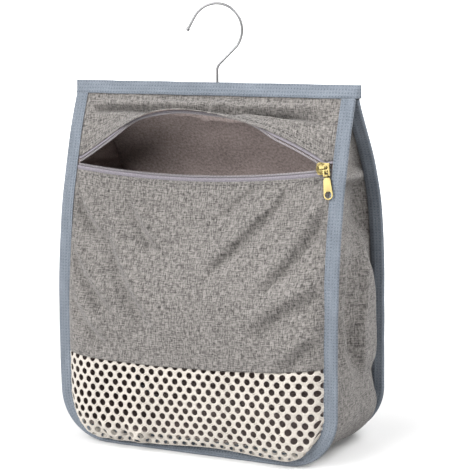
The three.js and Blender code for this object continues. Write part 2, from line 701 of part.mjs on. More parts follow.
function slider() {
  const end = SLIDER_LENGTH / 2;
  const nose = SLIDER_NOSE;
  const shield = new THREE.Shape();
  shield.moveTo(end, -SLIDER_TAIL);
  shield.lineTo(end, SLIDER_TAIL);
  shield.bezierCurveTo(end / 3, SLIDER_TAIL, 0, nose, -end + nose / 2, nose);
  shield.quadraticCurveTo(-end, nose, -end, nose / 2);
  shield.lineTo(-end, -nose / 2);
  shield.quadraticCurveTo(-end, -nose, -end + nose / 2, -nose);
  shield.bezierCurveTo(0, -nose, end / 3, -SLIDER_TAIL, end, -SLIDER_TAIL);
  const way = COIL_FAR + SLIDER_CLEARANCE;
  const past = end + 1;
  const mouth = way + LIP_RISE * mouthLift(SLIDER_X - past);
  const channel = shapeOf([[past, -way], [past, way], [1, way], [-past, mouth], [-past, -way]]);
  const slit = shapeOf([[past, -past], [past, past], [-past, past], [-past, -past]]);
  const foot = COIL_NEAR;
  const post = shapeOf([[-end, foot], [-end, foot + SLIDER_POST], [SLIDER_POST_LENGTH - end, foot]]);
  const shell = cut(
    slab(shield, 2 * PLATE_OUTSIDE),
    slab(channel, 2 * PLATE_INSIDE),
    slab(slit, TAPE + 2 * SLIDER_CLEARANCE),
  );
  const leg = BRIDGE_SPAN / 2 + BRIDGE_FOOT / 2;
  const clear = leg - BRIDGE_FOOT;
  const base = PLATE_INSIDE + SLIDER_PLATE / 2;
  const roof = PLATE_OUTSIDE + BRIDGE_ROOM;
  const crown = roof + BRIDGE_STRAP;
  const arch = shapeOf([
    [-leg, base], [-clear, base], [-clear, roof], [clear, roof], [clear, base], [leg, base],
    [leg, roof], [clear, crown], [-clear, crown], [-leg, roof],
  ]);
  const bridge = slab(arch, BRIDGE_WIDTH).rotateX(Math.PI / 2);
  return joined(shell, slab(post, 2 * PLATE_INSIDE + SLIDER_PLATE), bridge);
}

// Link, in its own frame: its eye turns about z on the bridge's foot, and its bar lies along x
const LINK_REACH = LINK_EYE / 2 + LINK_WIRE;
const LEG_X = TAB_KNUCKLE / 2 + SEAM_GAP + LINK_WIRE / 2;

function pullLink() {
  const eye = new THREE.Shape().absarc(0, 0, LINK_REACH, 0, 2 * Math.PI);
  const leg = (side) => new THREE.BoxGeometry(LINK_WIRE, LINK_LENGTH, LINK_WIRE).translate(
    side * LEG_X,
    -LINK_LENGTH / 2,
    0,
  );
  const bar = rodAlongX(LINK_WIRE / 2, 2 * LEG_X + LINK_WIRE).translate(0, -LINK_LENGTH, 0);
  return cut(joined(slab(eye, LINK_WIRE), leg(-1), leg(1), bar), rodAlongZ(LINK_EYE / 2, 2 * LINK_WIRE));
}

// Tab, in its own frame: it turns about x on the link's bar and hangs down -y
function pullTab() {
  const bore = LINK_WIRE / 2 + SEAM_GAP;
  const knuckle = bore + KNUCKLE_WALL;
  const half = TAB_WIDTH / 2;
  const shoulder = TAB_SHOULDER / 2;
  const neck = TAB_KNUCKLE / 2;
  const plate = new THREE.Shape();
  plate.moveTo(neck, -bore);
  plate.lineTo(neck, -knuckle);
  plate.quadraticCurveTo(shoulder, -knuckle, shoulder, -knuckle - shoulder);
  plate.lineTo(half, half - TAB_LENGTH);
  plate.absarc(0, half - TAB_LENGTH, half, 0, -Math.PI, true);
  plate.lineTo(-shoulder, -knuckle - shoulder);
  plate.quadraticCurveTo(-shoulder, -knuckle, -neck, -knuckle);
  plate.lineTo(-neck, -bore);
  plate.holes.push(new THREE.Path().absarc(0, half - TAB_LENGTH, TAB_HOLE / 2, 0, 2 * Math.PI));
  const body = joined(slab(plate, TAB_THICKNESS), rodAlongX(knuckle, TAB_KNUCKLE));
  return cut(body, rodAlongX(bore, 2 * TAB_KNUCKLE));
}

// Hook and hanger bar

const barShoulder = back.heightAt(BAR_THICKNESS / 2 + SEAM_GAP);
const barTop = barShoulder + BAR_BEVEL;
const washerTop = barTop - BAR_HEIGHT - SEAM_GAP;
const headTop = washerTop - WASHER_THICKNESS - SEAM_GAP;

function hangerBar() {
  const half = BAR_THICKNESS / 2;
  const flat = half - BAR_BEVEL;
  const low = barTop - BAR_HEIGHT;
  const section = [
    [flat, barTop], [half, barShoulder], [half, low + BAR_BEVEL], [flat, low],
    [-flat, low], [-half, low + BAR_BEVEL], [-half, barShoulder], [-flat, barTop],
  ];
  const end = PANEL_HALF - FIN - BAR_END_GAP;
  const ring = (x) => section.map(([y, z]) => new THREE.Vector3(x, SEAM_Y + y, z));
  const bore = rodAlongZ(WIRE / 2 + BORE_CLEARANCE, 2 * BAR_HEIGHT);
  return cut(loft([-end, end].map(ring)), bore.translate(HOOK_OFFSET, SEAM_Y, barTop));
}

// Wire's line in its own upright plane, as places with the wire's direction and radius
function hookLine() {
  const line = [];
  const wire = WIRE / 2;
  const put = (x, z, angle, radius = wire) => line.push({ x, z, angle, radius });
  const upright = Math.PI / 2;
  put(0, headTop - HOOK_HEAD_HEIGHT, upright, HOOK_HEAD / 2);
  put(0, headTop, upright, HOOK_HEAD / 2);
  put(0, headTop, upright);
  const turn = THREE.MathUtils.degToRad(HOOK_START);
  const slope = upright - turn;
  const crookZ = BAG_HEIGHT + HOOK_RISE;
  const start = { x: HOOK_RADIUS * Math.cos(turn), z: crookZ - HOOK_RADIUS * Math.sin(turn) };
  const kneeZ = start.z - start.x * Math.tan(slope);
  const bendZ = kneeZ - HOOK_BEND * Math.tan(turn / 2);
  const bendSteps = 4;
  for (let i = 0; i <= bendSteps; i += 1) {
    const angle = (turn * i) / bendSteps;
    put(HOOK_BEND * (1 - Math.cos(angle)), bendZ + HOOK_BEND * Math.sin(angle), upright - angle);
  }
  const end = THREE.MathUtils.degToRad(HOOK_END);
  const crookSteps = 20;
  for (let i = 0; i <= crookSteps; i += 1) {
    const angle = THREE.MathUtils.lerp(-turn, end, i / crookSteps);
    put(HOOK_RADIUS * Math.cos(angle), crookZ + HOOK_RADIUS * Math.sin(angle), angle + upright);
  }
  const last = line.at(-1);
  const ball = HOOK_BALL / 2;
  const neck = Math.asin(wire / ball);
  const ballSteps = 6;
  for (let i = 0; i < ballSteps; i += 1) {
    const round = THREE.MathUtils.lerp(neck, Math.PI, i / ballSteps);
    const run = HOOK_TIP - ball * Math.cos(round);
    const x = last.x + run * Math.cos(last.angle);
    const z = last.z + run * Math.sin(last.angle);
    put(x, z, last.angle, ball * Math.sin(round));
  }
  return line;
}

function hook() {
  const rings = hookLine().map(({ x, z, angle, radius }) =>
    Array.from({ length: WIRE_SIDES }, (_, k) => {
      const round = (k / WIRE_SIDES) * 2 * Math.PI;
      const away = radius * Math.cos(round);
      const beside = radius * Math.sin(round);
      return new THREE.Vector3(x - away * Math.sin(angle), beside, z + away * Math.cos(angle));
    }),
  );
  return loft(rings);
}

function hookWasher() {
  const disc = rodAlongZ(WASHER / 2, WASHER_THICKNESS);
  const ring = cut(disc, rodAlongZ(WIRE / 2 + BORE_CLEARANCE, 2 * WASHER_THICKNESS));
  return ring.translate(0, 0, washerTop - WASHER_THICKNESS / 2);
}

// Assembly

const finish = (color, roughness, metalness = 0) =>
  new THREE.MeshStandardMaterial({ color, roughness, metalness, flatShading: true });
const greyCloth = finish(0x96908b, 0.9);
const bindingTape = finish(0x6f7d8d, 0.85);
const net = finish(0xe9e2d6, 0.8);
const zipTape = finish(0x8d8390, 0.85);
const zipCoil = finish(0x4a4550, 0.6);
const brass = finish(0xb59a55, 0.3, 1);
const steel = finish(0x8f9193, 0.35, 1);
const wood = finish(0xc9a877, 0.7);

function add(parent, name, geometry, material) {
  const mesh = new THREE.Mesh(geometry, material);
  mesh.name = name;
  parent.add(mesh);
}

const bag = new THREE.Group();
add(bag, 'back_panel', backPanel(), greyCloth);
add(bag, 'gusset', gusset(), greyCloth);
add(bag, 'front_lower_panel', lowerPanel(), greyCloth);
add(bag, 'front_upper_panel', upperPanel(), greyCloth);
add(bag, 'mesh_panel', meshPanel(), net);
add(bag, 'front_binding', sideBinding(front), bindingTape);
add(bag, 'back_binding', sideBinding(back), bindingTape);
add(bag, 'top_binding', topBinding(), bindingTape);
add(bag, 'zip_tape_lower', lowerTape(), zipTape);
add(bag, 'zip_tape_upper', upperTape(), zipTape);
add(bag, 'zip_coil_lower', lowerCoil(), zipCoil);
add(bag, 'zip_coil_upper', upperCoil(), zipCoil);
add(bag, 'hanger_bar', hangerBar(), wood);

const hookGroup = new THREE.Group();
hookGroup.position.set(HOOK_OFFSET, SEAM_Y, 0);
hookGroup.rotation.z = THREE.MathUtils.degToRad(HOOK_TURN);
add(hookGroup, 'hook', hook(), steel);
add(hookGroup, 'hook_washer', hookWasher(), steel);
bag.add(hookGroup);

const sliderGroup = new THREE.Group();
const sliderAngle = Math.asin((SLIDER_X - ZIP_LOW) / ZIP_RADIUS);
const sliderAlong = new THREE.Vector3(Math.cos(sliderAngle), 0, 0);
sliderAlong.addScaledVector(zipUp, Math.sin(sliderAngle));
const sliderBasis = new THREE.Matrix4().makeBasis(sliderAlong, zipOut.clone().cross(sliderAlong), zipOut);
sliderGroup.quaternion.setFromRotationMatrix(sliderBasis);
sliderGroup.position.copy(zipPoint(SLIDER_X, zipLine(SLIDER_X, 0), 0));
add(sliderGroup, 'zip_slider', slider(), brass);
bag.add(sliderGroup);

const linkGroup = new THREE.Group();
linkGroup.position.set(BRIDGE_SPAN / 2, 0, LINK_Z);
linkGroup.rotation.z = THREE.MathUtils.degToRad(PULL_TILT);
add(linkGroup, 'pull_link', pullLink(), brass);
sliderGroup.add(linkGroup);

const tabGroup = new THREE.Group();
tabGroup.position.y = -LINK_LENGTH;
add(tabGroup, 'pull_tab', pullTab(), brass);
linkGroup.add(tabGroup);

export default bag;
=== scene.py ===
"""Peg bag dressed round its CAD frame: cloth with bound edges, a net window, an open zip and a wire hook."""

import math
from contextlib import contextmanager

import bmesh
import bpy
import numpy as np
from mathutils import Matrix, Vector


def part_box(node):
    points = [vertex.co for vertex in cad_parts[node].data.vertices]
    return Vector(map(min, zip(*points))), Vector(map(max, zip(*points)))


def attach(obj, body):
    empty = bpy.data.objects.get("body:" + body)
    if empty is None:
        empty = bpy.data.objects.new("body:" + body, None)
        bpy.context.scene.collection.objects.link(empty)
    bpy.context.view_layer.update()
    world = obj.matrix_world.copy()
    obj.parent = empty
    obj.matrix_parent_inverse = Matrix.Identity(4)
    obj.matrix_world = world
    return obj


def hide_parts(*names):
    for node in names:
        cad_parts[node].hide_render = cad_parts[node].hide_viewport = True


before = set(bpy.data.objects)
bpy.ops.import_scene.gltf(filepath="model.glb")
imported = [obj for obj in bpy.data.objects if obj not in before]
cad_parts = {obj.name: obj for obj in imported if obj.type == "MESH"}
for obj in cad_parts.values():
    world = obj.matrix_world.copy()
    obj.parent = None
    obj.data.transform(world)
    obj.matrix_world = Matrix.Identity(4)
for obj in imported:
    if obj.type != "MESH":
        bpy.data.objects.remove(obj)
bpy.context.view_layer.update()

MM = 0.001

# Bag, in millimetres
BAG_WIDTH = 286.0
BAG_HEIGHT = 342.0
FRONT_DEPTH = 50.0
BACK_DEPTH = 70.0
FRONT_STRAIGHT = 90.0
BACK_STRAIGHT = 105.0
FRONT_LEAN = 2.4
BACK_LEAN = 4.0
BACK_HOLLOW = 1.8
CORNER_RADIUS = 50.0
FRONT_BELLY = 18.0
BACK_BELLY = 10.0
BELLY_FULL = 110.0
BELLY_START = 11.6
BELLY_RUN = 54.0
BELLY_ROUND = 2.6
BELLY_BLUNT = 0.62
SEAM_Y = (FRONT_DEPTH + FRONT_BELLY - BACK_DEPTH - BACK_BELLY) / 2

# Swollen foot, which hangs over its binding and is held up a little near the middle
POUCH_SAG = 12.0
POUCH_RUN = 62.0
POUCH_TURN = 6.5
POUCH_ABOVE = 20.0
POUCH_FADE = 50.0
POUCH_HELD = 0.36
POUCH_HELD_X = 22.0
POUCH_HELD_RUN = 46.0
FOOT_TUCK = 13.0
TUCK_START = 0.5
TUCK_END = 21.0
TUCK_RUN = 5.0
TUCK_LEFT = -112.0
TUCK_RIGHT = 104.0
TUCK_FADE = 45.0

# Cloth and bindings
CLOTH = 0.8
TAPE = 0.8
SEAM_GAP = 0.3
BINDING_WIDTH = 12.0
TOP_BINDING_HEIGHT = 12.0
TOP_BINDING_OVERHANG = 3.0
CREASE_FADE = 12.0
CLOTH_RIPPLE = 0.7
HEM_RUN = 3.0
HEM_RISE = 0.35
BINDING_FOLD = 1.2
BINDING_WANDER = 0.175
BINDING_LIFT = 0.16
TOP_ROUND = 1.6
TOP_WAVE = 0.175
TOP_SWAY = 0.3
TOP_SEWN_GAP = 0.4
TOP_SEWN_SHUT = 0.9
FOOT = TAPE + SEAM_GAP
PANEL_HALF = BAG_WIDTH / 2 - FOOT
EDGE_RADIUS = CORNER_RADIUS - FOOT
TOP = BAG_HEIGHT - TAPE - 2 * SEAM_GAP
SIDE_TOP = BAG_HEIGHT - TOP_BINDING_HEIGHT - SEAM_GAP
SEAM_HALF = CLOTH / 2 + SEAM_GAP
OUTER_FACE = SEAM_HALF + TAPE
INNER_FACE = -SEAM_HALF - CLOTH - SEAM_GAP - TAPE
FLANGE = -SEAM_HALF - CLOTH / 2
GUSSET_ROOT = BINDING_WIDTH + CLOTH / 2 + 2 * SEAM_GAP
INNER_INSET = GUSSET_ROOT + CLOTH / 2 + 1.1
INNER_HALF = PANEL_HALF - INNER_INSET

# Net window
NET_MIDDLE = 86.4
NET_TILT = 3.0
NET_SAG = 5.1
NET_PITCH = 9.7
NET_ROW = 6.8
NET_HOLE_WIDTH = 5.4
NET_HOLE_HEIGHT = 6.3
NET_THICKNESS = 0.9
NET_HIDDEN = 8.0
NET_MARGIN = 5.4
NET_BEHIND = 1.25
NET_ROWS = 24
NET_ROWS_HIDDEN = 4

# Zip
ZIP_DROP = 72.0
ZIP_SAG = 11.0
ZIP_LOW = -18.0
ZIP_FLAT_BELOW = 28.0
ZIP_FLAT_ABOVE = 19.0
COIL_CENTRE = 1.5
COIL_WIRE = 0.34
COIL_PITCH = 1.45
COIL_ACROSS = 0.78
COIL_OUT = 0.66
COIL_STEPS = 12
COIL_SIDES = 5
TAPE_EDGE = 3.5
PANEL_EDGE = 6.5
TAPE_HIDDEN = 4.0
LIP_RISE = 58.0
LIP_REACH = 42.0
LIP_PEAK = 0.47
SLIDER_END = 7.0
TAB_SWEEP = 26.0
ZIP_HEIGHT = BAG_HEIGHT - ZIP_DROP
ZIP_FOOT = ZIP_HEIGHT - ZIP_FLAT_BELOW
ZIP_HEAD = ZIP_HEIGHT + ZIP_FLAT_ABOVE
ZIP_RADIUS = (PANEL_HALF ** 2 + ZIP_SAG ** 2) / (2 * ZIP_SAG)
SLIDER_X = PANEL_HALF - GUSSET_ROOT - CLOTH / 2 - SLIDER_END

# Slider's cap
CAP_LENGTH = 8.6
CAP_WIDTH = 9.4
CAP_RISE = 1.9
CAP_FOOT = 2.5
CAP_SHIFT = -1.9
CAP_RIM = 0.25
CAP_RIM_DROP = 0.3
CAP_RIM_RISE = 4.5

# Hook
WIRE = 2.4
HOOK_OFFSET = 4.5
HOOK_RADIUS = 24.0
HOOK_RISE = 48.0
HOOK_BEND = 9.0
HOOK_START = math.radians(46)
HOOK_END = math.radians(150)
HOOK_TIP = 13.0
HOOK_BALL = 3.6
HEAD_RADIUS = 2.8
HEAD_HEIGHT = 1.6
HEAD_BEVEL = 0.4
HOOK_TURN = math.radians(11)

# Stitches
STITCH_PITCH = 3.1
STITCH_LENGTH = 2.3
STITCH_WIDTH = 0.7
STITCH_DIP = 0.25
STITCH_DIMPLE = 0.22
BINDING_ROWS = ((9.7, "inner"), (4.4, "outer"))
TOP_ROW = 2.4
ZIP_STITCH_SCALE = 1.35

# Camera, fitted to the photograph's 470 pixel square
IMAGE_SIZE = 470
CAMERA_AZIMUTH = math.radians(25.45)
CAMERA_PITCH = math.radians(9.547)
CAMERA_ROLL = math.radians(-0.746)
CAMERA_EYE = Vector((0.6306, -1.2881, 0.4388))
FOCAL_PIXELS = 1542.5
SENSOR = 36.0

# Studio, in metres and watts: each lamp has its width, power and place
FLOOR_WIDTH = 16.0
FLOOR_DEPTH = 9.0
WALL_HEIGHT = 5.0
PAPER_BEND = 1.2
PAPER_GLOW = 0.8
SKY = 0.18
SUN = 3.2
SUN_ANGLE = math.radians(55)
SUN_PLACE = (-1.25, -1.5, 2.2)
LAMPS = {
    "key": (0.8, 27.0, (-1.15, -1.8, 1.0)),
    "front": (0.5, 19.0, (-0.25, -2.1, 0.95)),
    "side": (0.8, 29.0, (1.0, -0.15, 1.35)),
}


# Curves of the bag

def smooth(t):
    s = np.clip(t, 0, 1)
    return s * s * s * (s * (6 * s - 15) + 10)


def band(t, start, end, rise, fall):
    """One between two places and nought outside them, with soft ends."""
    return smooth((t - start) / rise) * smooth((end - t) / fall)


def front_curve(z):
    t = np.clip((z - FRONT_STRAIGHT) / (TOP - FRONT_STRAIGHT), 0, None)
    return FRONT_DEPTH * (1 - t ** FRONT_LEAN)


def front_depth(z):
    share = np.clip((z - ZIP_FOOT) / (ZIP_HEAD - ZIP_FOOT), 0, 1)
    low, high = front_curve(np.array(ZIP_FOOT)), front_curve(np.array(ZIP_HEAD))
    flat = low + (high - low) * share
    return np.where((z > ZIP_FOOT) & (z < ZIP_HEAD), flat, front_curve(z))


def back_depth(z):
    t = np.clip((z - BACK_STRAIGHT) / (TOP - BACK_STRAIGHT), 0, 1)
    return BACK_DEPTH * (1 - t ** BACK_LEAN) ** BACK_HOLLOW


def inset_at(x, z):
    """Distance in from a panel's cut edge, straight at the sides and round at the foot."""
    across = np.abs(x) - (PANEL_HALF - EDGE_RADIUS)
    down = FOOT + EDGE_RADIUS - z
    straight = np.minimum(PANEL_HALF - np.abs(x), z - FOOT)
    return np.where((across > 0) & (down > 0), EDGE_RADIUS - np.hypot(across, down), straight)


def crease(x, z, start, end, width, height, bow=0.0, paired=False):
    """A soft ridge along a line, a dip where the height is negative, or both side by side as a pair."""
    (x0, z0), (x1, z1) = start, end
    length = math.hypot(x1 - x0, z1 - z0)
    along = ((x - x0) * (x1 - x0) + (z - z0) * (z1 - z0)) / length
    aside = ((x - x0) * (z1 - z0) - (z - z0) * (x1 - x0)) / length
    share = along / length
    near = (aside - bow * np.sin(np.clip(share, 0, 1) * math.pi)) / width
    taper = smooth((share + 0.1) / 0.4) * smooth((1.1 - share) / 0.4)
    return height * taper * np.exp(-near ** 2) * (2.33 * near if paired else 1.0)


def ripple(x, z, sizes, phase):
    """Gentle unevenness made of a few crossing waves."""
    total = np.zeros(np.broadcast(x, z).shape)
    for i, size in enumerate(sizes):
        turn = phase + 2.4 * i
        along = x * math.cos(turn) + z * math.sin(turn)
        total = total + np.sin(2 * math.pi * along / size + 1.7 * i + phase)
    return total / len(sizes)


class Side:
    """One face of the bag: its profile, its swell and the creases of its cloth."""

    def __init__(self, sign, depth, belly, pouch, tucked, creases):
        self.sign, self.depth, self.belly, self.creases = sign, depth, belly, creases
        self.pouch, self.tucked = pouch, tucked

    def across(self, z):
        return SEAM_Y + self.sign * (SEAM_HALF + self.depth(z))

    def flat(self, x, z, offset=0.0):
        x, z, offset = np.broadcast_arrays(np.asarray(x, float), np.asarray(z, float), offset)
        slope = self.across(z + 0.5) - self.across(z - 0.5)
        size = np.sqrt(1 + slope ** 2)
        y = self.across(z) + self.sign * (offset / size - self.tuck(x, z))
        return np.stack([x, y, z - offset * self.sign * slope / size], -1)

    def tuck(self, x, z):
        """How far the binding's upper half is pushed in under the swollen cloth, along the foot."""
        under = band(z, FOOT + TUCK_START, TUCK_END, TUCK_RUN, TUCK_END - TUCK_RUN)
        return self.tucked * under * band(x, TUCK_LEFT, TUCK_RIGHT, TUCK_FADE, TUCK_FADE)

    def full(self, x, z, offset=0.0):
        """The panel with its swell, its creases and its hanging foot, all left out at its seams."""
        place = self.flat(x, z, offset)
        share = np.clip((inset_at(x, z) - BELLY_START) / BELLY_RUN, 0, 1)
        rise = (1 - (1 - share) ** BELLY_ROUND) ** BELLY_BLUNT
        fade = smooth((ZIP_FOOT - z) / (ZIP_FOOT - BELLY_FULL))
        loose = smooth((inset_at(x, z) - BELLY_START) / CREASE_FADE)
        loose = loose * smooth((zip_height(x, PANEL_EDGE) + 1 - z) / CREASE_FADE)
        worn = sum(crease(x, z, *line, paired=True) for line in self.creases)
        worn = worn + CLOTH_RIPPLE * ripple(x, z, (83, 61, 47), 0.4)
        swept = 1 - smooth((zip_height(x, TAB_SWEEP) - z) / CREASE_FADE)
        worn = worn - swept * np.maximum(worn, 0)
        place[..., 1] += self.sign * (self.belly * rise * fade + loose * worn)
        place[..., 2] -= self.sag(x, z)
        return place

    def sag(self, x, z):
        """How far the swollen foot hangs down over its binding."""
        above = inset_at(x, z) - BELLY_START
        hung = smooth(above / POUCH_TURN) * smooth(1.1 - above / POUCH_RUN)
        held = 1 - POUCH_HELD * np.exp(-((x - POUCH_HELD_X) / POUCH_HELD_RUN) ** 2)
        low = smooth((FOOT + EDGE_RADIUS + POUCH_ABOVE - z) / POUCH_FADE)
        return self.pouch * held * hung * low

    def edge(self, path, inset, offset):
        inset = np.asarray(inset, float)
        return self.flat(path.x - inset * path.out_x, path.z - inset * path.out_z, offset)


# Pairs of ridge and valley: start and end on the panel, width, height and bow
FRONT_CREASES = [
    ((92, 260), (14, 172), 8, 4.4, -4),
    ((136, 254), (70, 158), 9, 5.0, -4),
    ((138, 172), (62, 122), 10, 4.6, 3),
    ((138, 130), (92, 92), 8, 3.4, 2),
    ((58, 258), (18, 220), 7, 2.8, 0),
    ((-130, 248), (-92, 198), 7, -5.0, 3),
    ((-132, 198), (-72, 132), 8, -5.4, 4),
    ((-94, 214), (-28, 118), 9, -5.2, 4),
    ((-72, 238), (-32, 188), 7, -4.4, 2),
    ((-124, 148), (-78, 100), 8, -4.4, 2),
    ((-94, 36), (-78, 12), 6, -3.0, 1),
    ((-66, 34), (-48, 10), 6, -3.0, 1),
    ((-36, 32), (-60, 10), 6, 2.6, 1),
    ((98, 48), (116, 30), 8, 2.4, 1),
]
BACK_CREASES = [
    ((-100, 230), (-30, 150), 10, -2.4, 6),
    ((105, 220), (40, 120), 11, 2.4, -6),
    ((20, 240), (0, 90), 15, 1.6, 5),
    ((-90, 60), (-40, 34), 8, -2.0, 3),
]
front = Side(-1, front_depth, FRONT_BELLY, POUCH_SAG, FOOT_TUCK, FRONT_CREASES)
back = Side(1, back_depth, BACK_BELLY, 0.0, 0.0, BACK_CREASES)


class Path:
    """Stations down the left side of a panel's cut edge, along its foot and up the right side."""

    def __init__(self, step):
        side = SIDE_TOP - FOOT - EDGE_RADIUS
        arc = EDGE_RADIUS * math.pi / 2
        foot = PANEL_HALF - EDGE_RADIUS
        self.length = 2 * (side + arc + foot)
        self.s = np.linspace(0, self.length, int(self.length / step) + 1)
        half = np.minimum(self.s, self.length - self.s)
        angle = np.clip((half - side) / EDGE_RADIUS, 0, math.pi / 2)
        mirror = np.where(self.s > self.length / 2, -1.0, 1.0)
        down = np.minimum(half, side)
        run = np.clip(half - side - arc, 0, None)
        left = -PANEL_HALF + EDGE_RADIUS * (1 - np.cos(angle)) + run
        self.x = mirror * left
        self.z = SIDE_TOP - down - EDGE_RADIUS * np.sin(angle)
        self.out_x = -mirror * np.cos(angle)
        self.out_z = -np.sin(angle)

    def column(self):
        """The same stations, ready to spread across a second direction."""
        other = Path.__new__(Path)
        other.length = self.length
        for name in ("s", "x", "z", "out_x", "out_z"):
            setattr(other, name, getattr(self, name)[:, None])
        return other


# The zip's plane and the lines along it

low_point = front.flat(0, ZIP_FOOT)
zip_up = front.flat(0, ZIP_HEAD) - low_point
zip_up = zip_up / np.linalg.norm(zip_up)
zip_out = np.cross([1.0, 0, 0], zip_up)
ZIP_BOTTOM = ZIP_HEIGHT - ZIP_SAG * zip_up[2]
zip_origin = front.flat(0, ZIP_BOTTOM)


def zip_line(x, below):
    """Height along the zip's plane of a line so far below the zip's middle."""
    return ZIP_RADIUS - np.sqrt((ZIP_RADIUS + below) ** 2 - (x - ZIP_LOW) ** 2)


def zip_height(x, below):
    return ZIP_BOTTOM + zip_line(x, below) * zip_up[2]


def zip_point(x, below, offset=0.0):
    x, below, offset = np.broadcast_arrays(np.asarray(x, float), below, offset)
    place = zip_origin + zip_line(x, below)[..., None] * zip_up + offset[..., None] * zip_out
    place[..., 0] += x
    return place


def mouth_lift(x):
    """How far the lip is open, from nought at the corners to one at its peak."""
    u = (x + INNER_HALF) / (SLIDER_X + INNER_HALF)
    share = np.where(u < LIP_PEAK, u / LIP_PEAK, (1 - u) / (1 - LIP_PEAK))
    return np.sin(np.clip(share, 0, 1) * math.pi / 2)


def unit(v):
    return v / np.linalg.norm(v, axis=-1, keepdims=True)


def outward(grid):
    """Unit normals of a grid whose rows run along the bag and follow each other down its front."""
    return unit(np.cross(np.gradient(grid, axis=0), np.gradient(grid, axis=1)))


def lip(x, above=0.0):
    """Upper lip of the open mouth: the zip's line, lifted up its slope and drawn forward."""
    lift = mouth_lift(x)[..., None]
    place = zip_point(x, -above) + LIP_RISE * lift * zip_up
    return place - LIP_REACH * lift ** 2 * np.array([0, 1.0, 0])


def lip_hang(x):
    """Direction in which the flap's edge runs on towards the zip."""
    lift = mouth_lift(x)[..., None] ** 0.8
    return unit((1 - lift) * -zip_up + lift * np.array([0, -0.3, -0.95]))


def net_seam(x):
    """Height of the net's upper edge."""
    share = x / (PANEL_HALF - BINDING_WIDTH)
    return NET_MIDDLE + NET_TILT * share + NET_SAG * share ** 2


# Making meshes

def finish_mesh(name, places, faces, uvs, material):
    """An object at the origin from places in millimetres, with its cloth's flat measure as UV map."""
    mesh = bpy.data.meshes.new(name)
    mesh.from_pydata((np.asarray(places).reshape(-1, 3) * MM).tolist(), [], faces)
    if uvs is not None:
        layer = mesh.uv_layers.new(name="flat")
        corners = np.empty(len(mesh.loops), np.int32)
        mesh.loops.foreach_get("vertex_index", corners)
        layer.data.foreach_set("uv", (np.asarray(uvs).reshape(-1, 2)[corners] * MM).ravel())
    mesh.materials.append(material)
    mesh.shade_smooth()
    obj = bpy.data.objects.new(name, mesh)
    bpy.context.scene.collection.objects.link(obj)
    return obj


def grid_faces(rows, columns, around=False):
    faces = []
    for r in range(rows - 1):
        for c in range(columns if around else columns - 1):
            d = (c + 1) % columns
            faces.append((r * columns + c, r * columns + d, (r + 1) * columns + d, (r + 1) * columns + c))
    return faces


def flat_measure(grid):
    """Lengths along the rows and columns of a grid of places, as the cloth was cut."""
    across = np.linalg.norm(np.diff(grid, axis=1), axis=-1).mean(0)
    along = np.linalg.norm(np.diff(grid, axis=0), axis=-1).mean(1)
    u = np.concatenate([[0], np.cumsum(across)])
    v = np.concatenate([[0], np.cumsum(along)])
    return np.stack(np.meshgrid(u - u[-1] / 2, v), -1)


def point_out(obj, outside):
    """Turns the faces of an open sheet towards a point outside it."""
    mesh = obj.data
    face = mesh.polygons[len(mesh.polygons) // 2]
    if face.normal.dot(Vector(outside) * MM - face.center) < 0:
        mesh.flip_normals()


def apply_modifier(obj, kind, **settings):
    modifier = obj.modifiers.new(kind.lower(), kind)
    for key, value in settings.items():
        setattr(modifier, key, value)
    select_only(obj)
    bpy.ops.object.modifier_apply(modifier=modifier.name)


def cloth_sheet(name, grid, material, outside, thickness=CLOTH, inside=None):
    rows, columns = grid.shape[:2]
    obj = finish_mesh(name, grid, grid_faces(rows, columns), flat_measure(grid), material)
    point_out(obj, outside)
    if inside:
        obj.data.materials.append(inside)
    apply_modifier(obj, "SOLIDIFY", thickness=thickness * MM, offset=0.0, use_even_offset=False,
                   material_offset=1 if inside else 0)
    return obj


def closed_sweep(name, rings, material):
    """A band whose closed section is swept along a path, with its ends closed."""
    count, sides = rings.shape[:2]
    faces = grid_faces(count, sides, around=True)
    faces.append(tuple(range(sides))[::-1])
    faces.append(tuple((count - 1) * sides + k for k in range(sides)))
    loop = np.linalg.norm(np.diff(rings, axis=1, append=rings[:, :1]), axis=-1).mean(0)
    run = np.linalg.norm(np.diff(rings, axis=0), axis=-1).mean(1)
    u = np.concatenate([[0], np.cumsum(loop[:-1])])
    v = np.concatenate([[0], np.cumsum(run)])
    obj = finish_mesh(name, rings, faces, np.stack(np.meshgrid(u, v), -1), material)
    recalculate(obj)
    return obj


def recalculate(obj):
    work = bmesh.new()
    work.from_mesh(obj.data)
    bmesh.ops.recalc_face_normals(work, faces=work.faces)
    work.to_mesh(obj.data)
    work.free()


def deselect():
    if bpy.context.mode != "OBJECT":
        bpy.ops.object.mode_set(mode="OBJECT")
    bpy.ops.object.select_all(action="DESELECT")


def select_only(obj):
    deselect()
    obj.select_set(True)
    bpy.context.view_layer.objects.active = obj


@contextmanager
def editing(obj):
    """Edit mode with all of one object's mesh selected."""
    select_only(obj)
    bpy.ops.object.mode_set(mode="EDIT")
    bpy.ops.mesh.select_all(action="SELECT")
    yield
    bpy.ops.object.mode_set(mode="OBJECT")


def join(target, parts):
    select_only(target)
    for part in parts:
        part.select_set(True)
    bpy.ops.object.join()


# Shader expressions

class Value:
    """A shader socket that takes part in arithmetic."""

    def __init__(self, graph, socket):
        self.graph, self.socket = graph, socket

    def math(self, operation, *others):
        return self.graph.node("ShaderNodeMath", {"operation": operation}, self, *others)

    def __add__(self, other):
        return self.math("ADD", other)

    __radd__ = __add__

    def __sub__(self, other):
        return self.math("SUBTRACT", other)

    def __rsub__(self, other):
        return self.graph.node("ShaderNodeMath", {"operation": "SUBTRACT"}, other, self)

    def __mul__(self, other):
        return self.math("MULTIPLY", other)

    __rmul__ = __mul__

    def __pow__(self, other):
        return self.math("POWER", other)


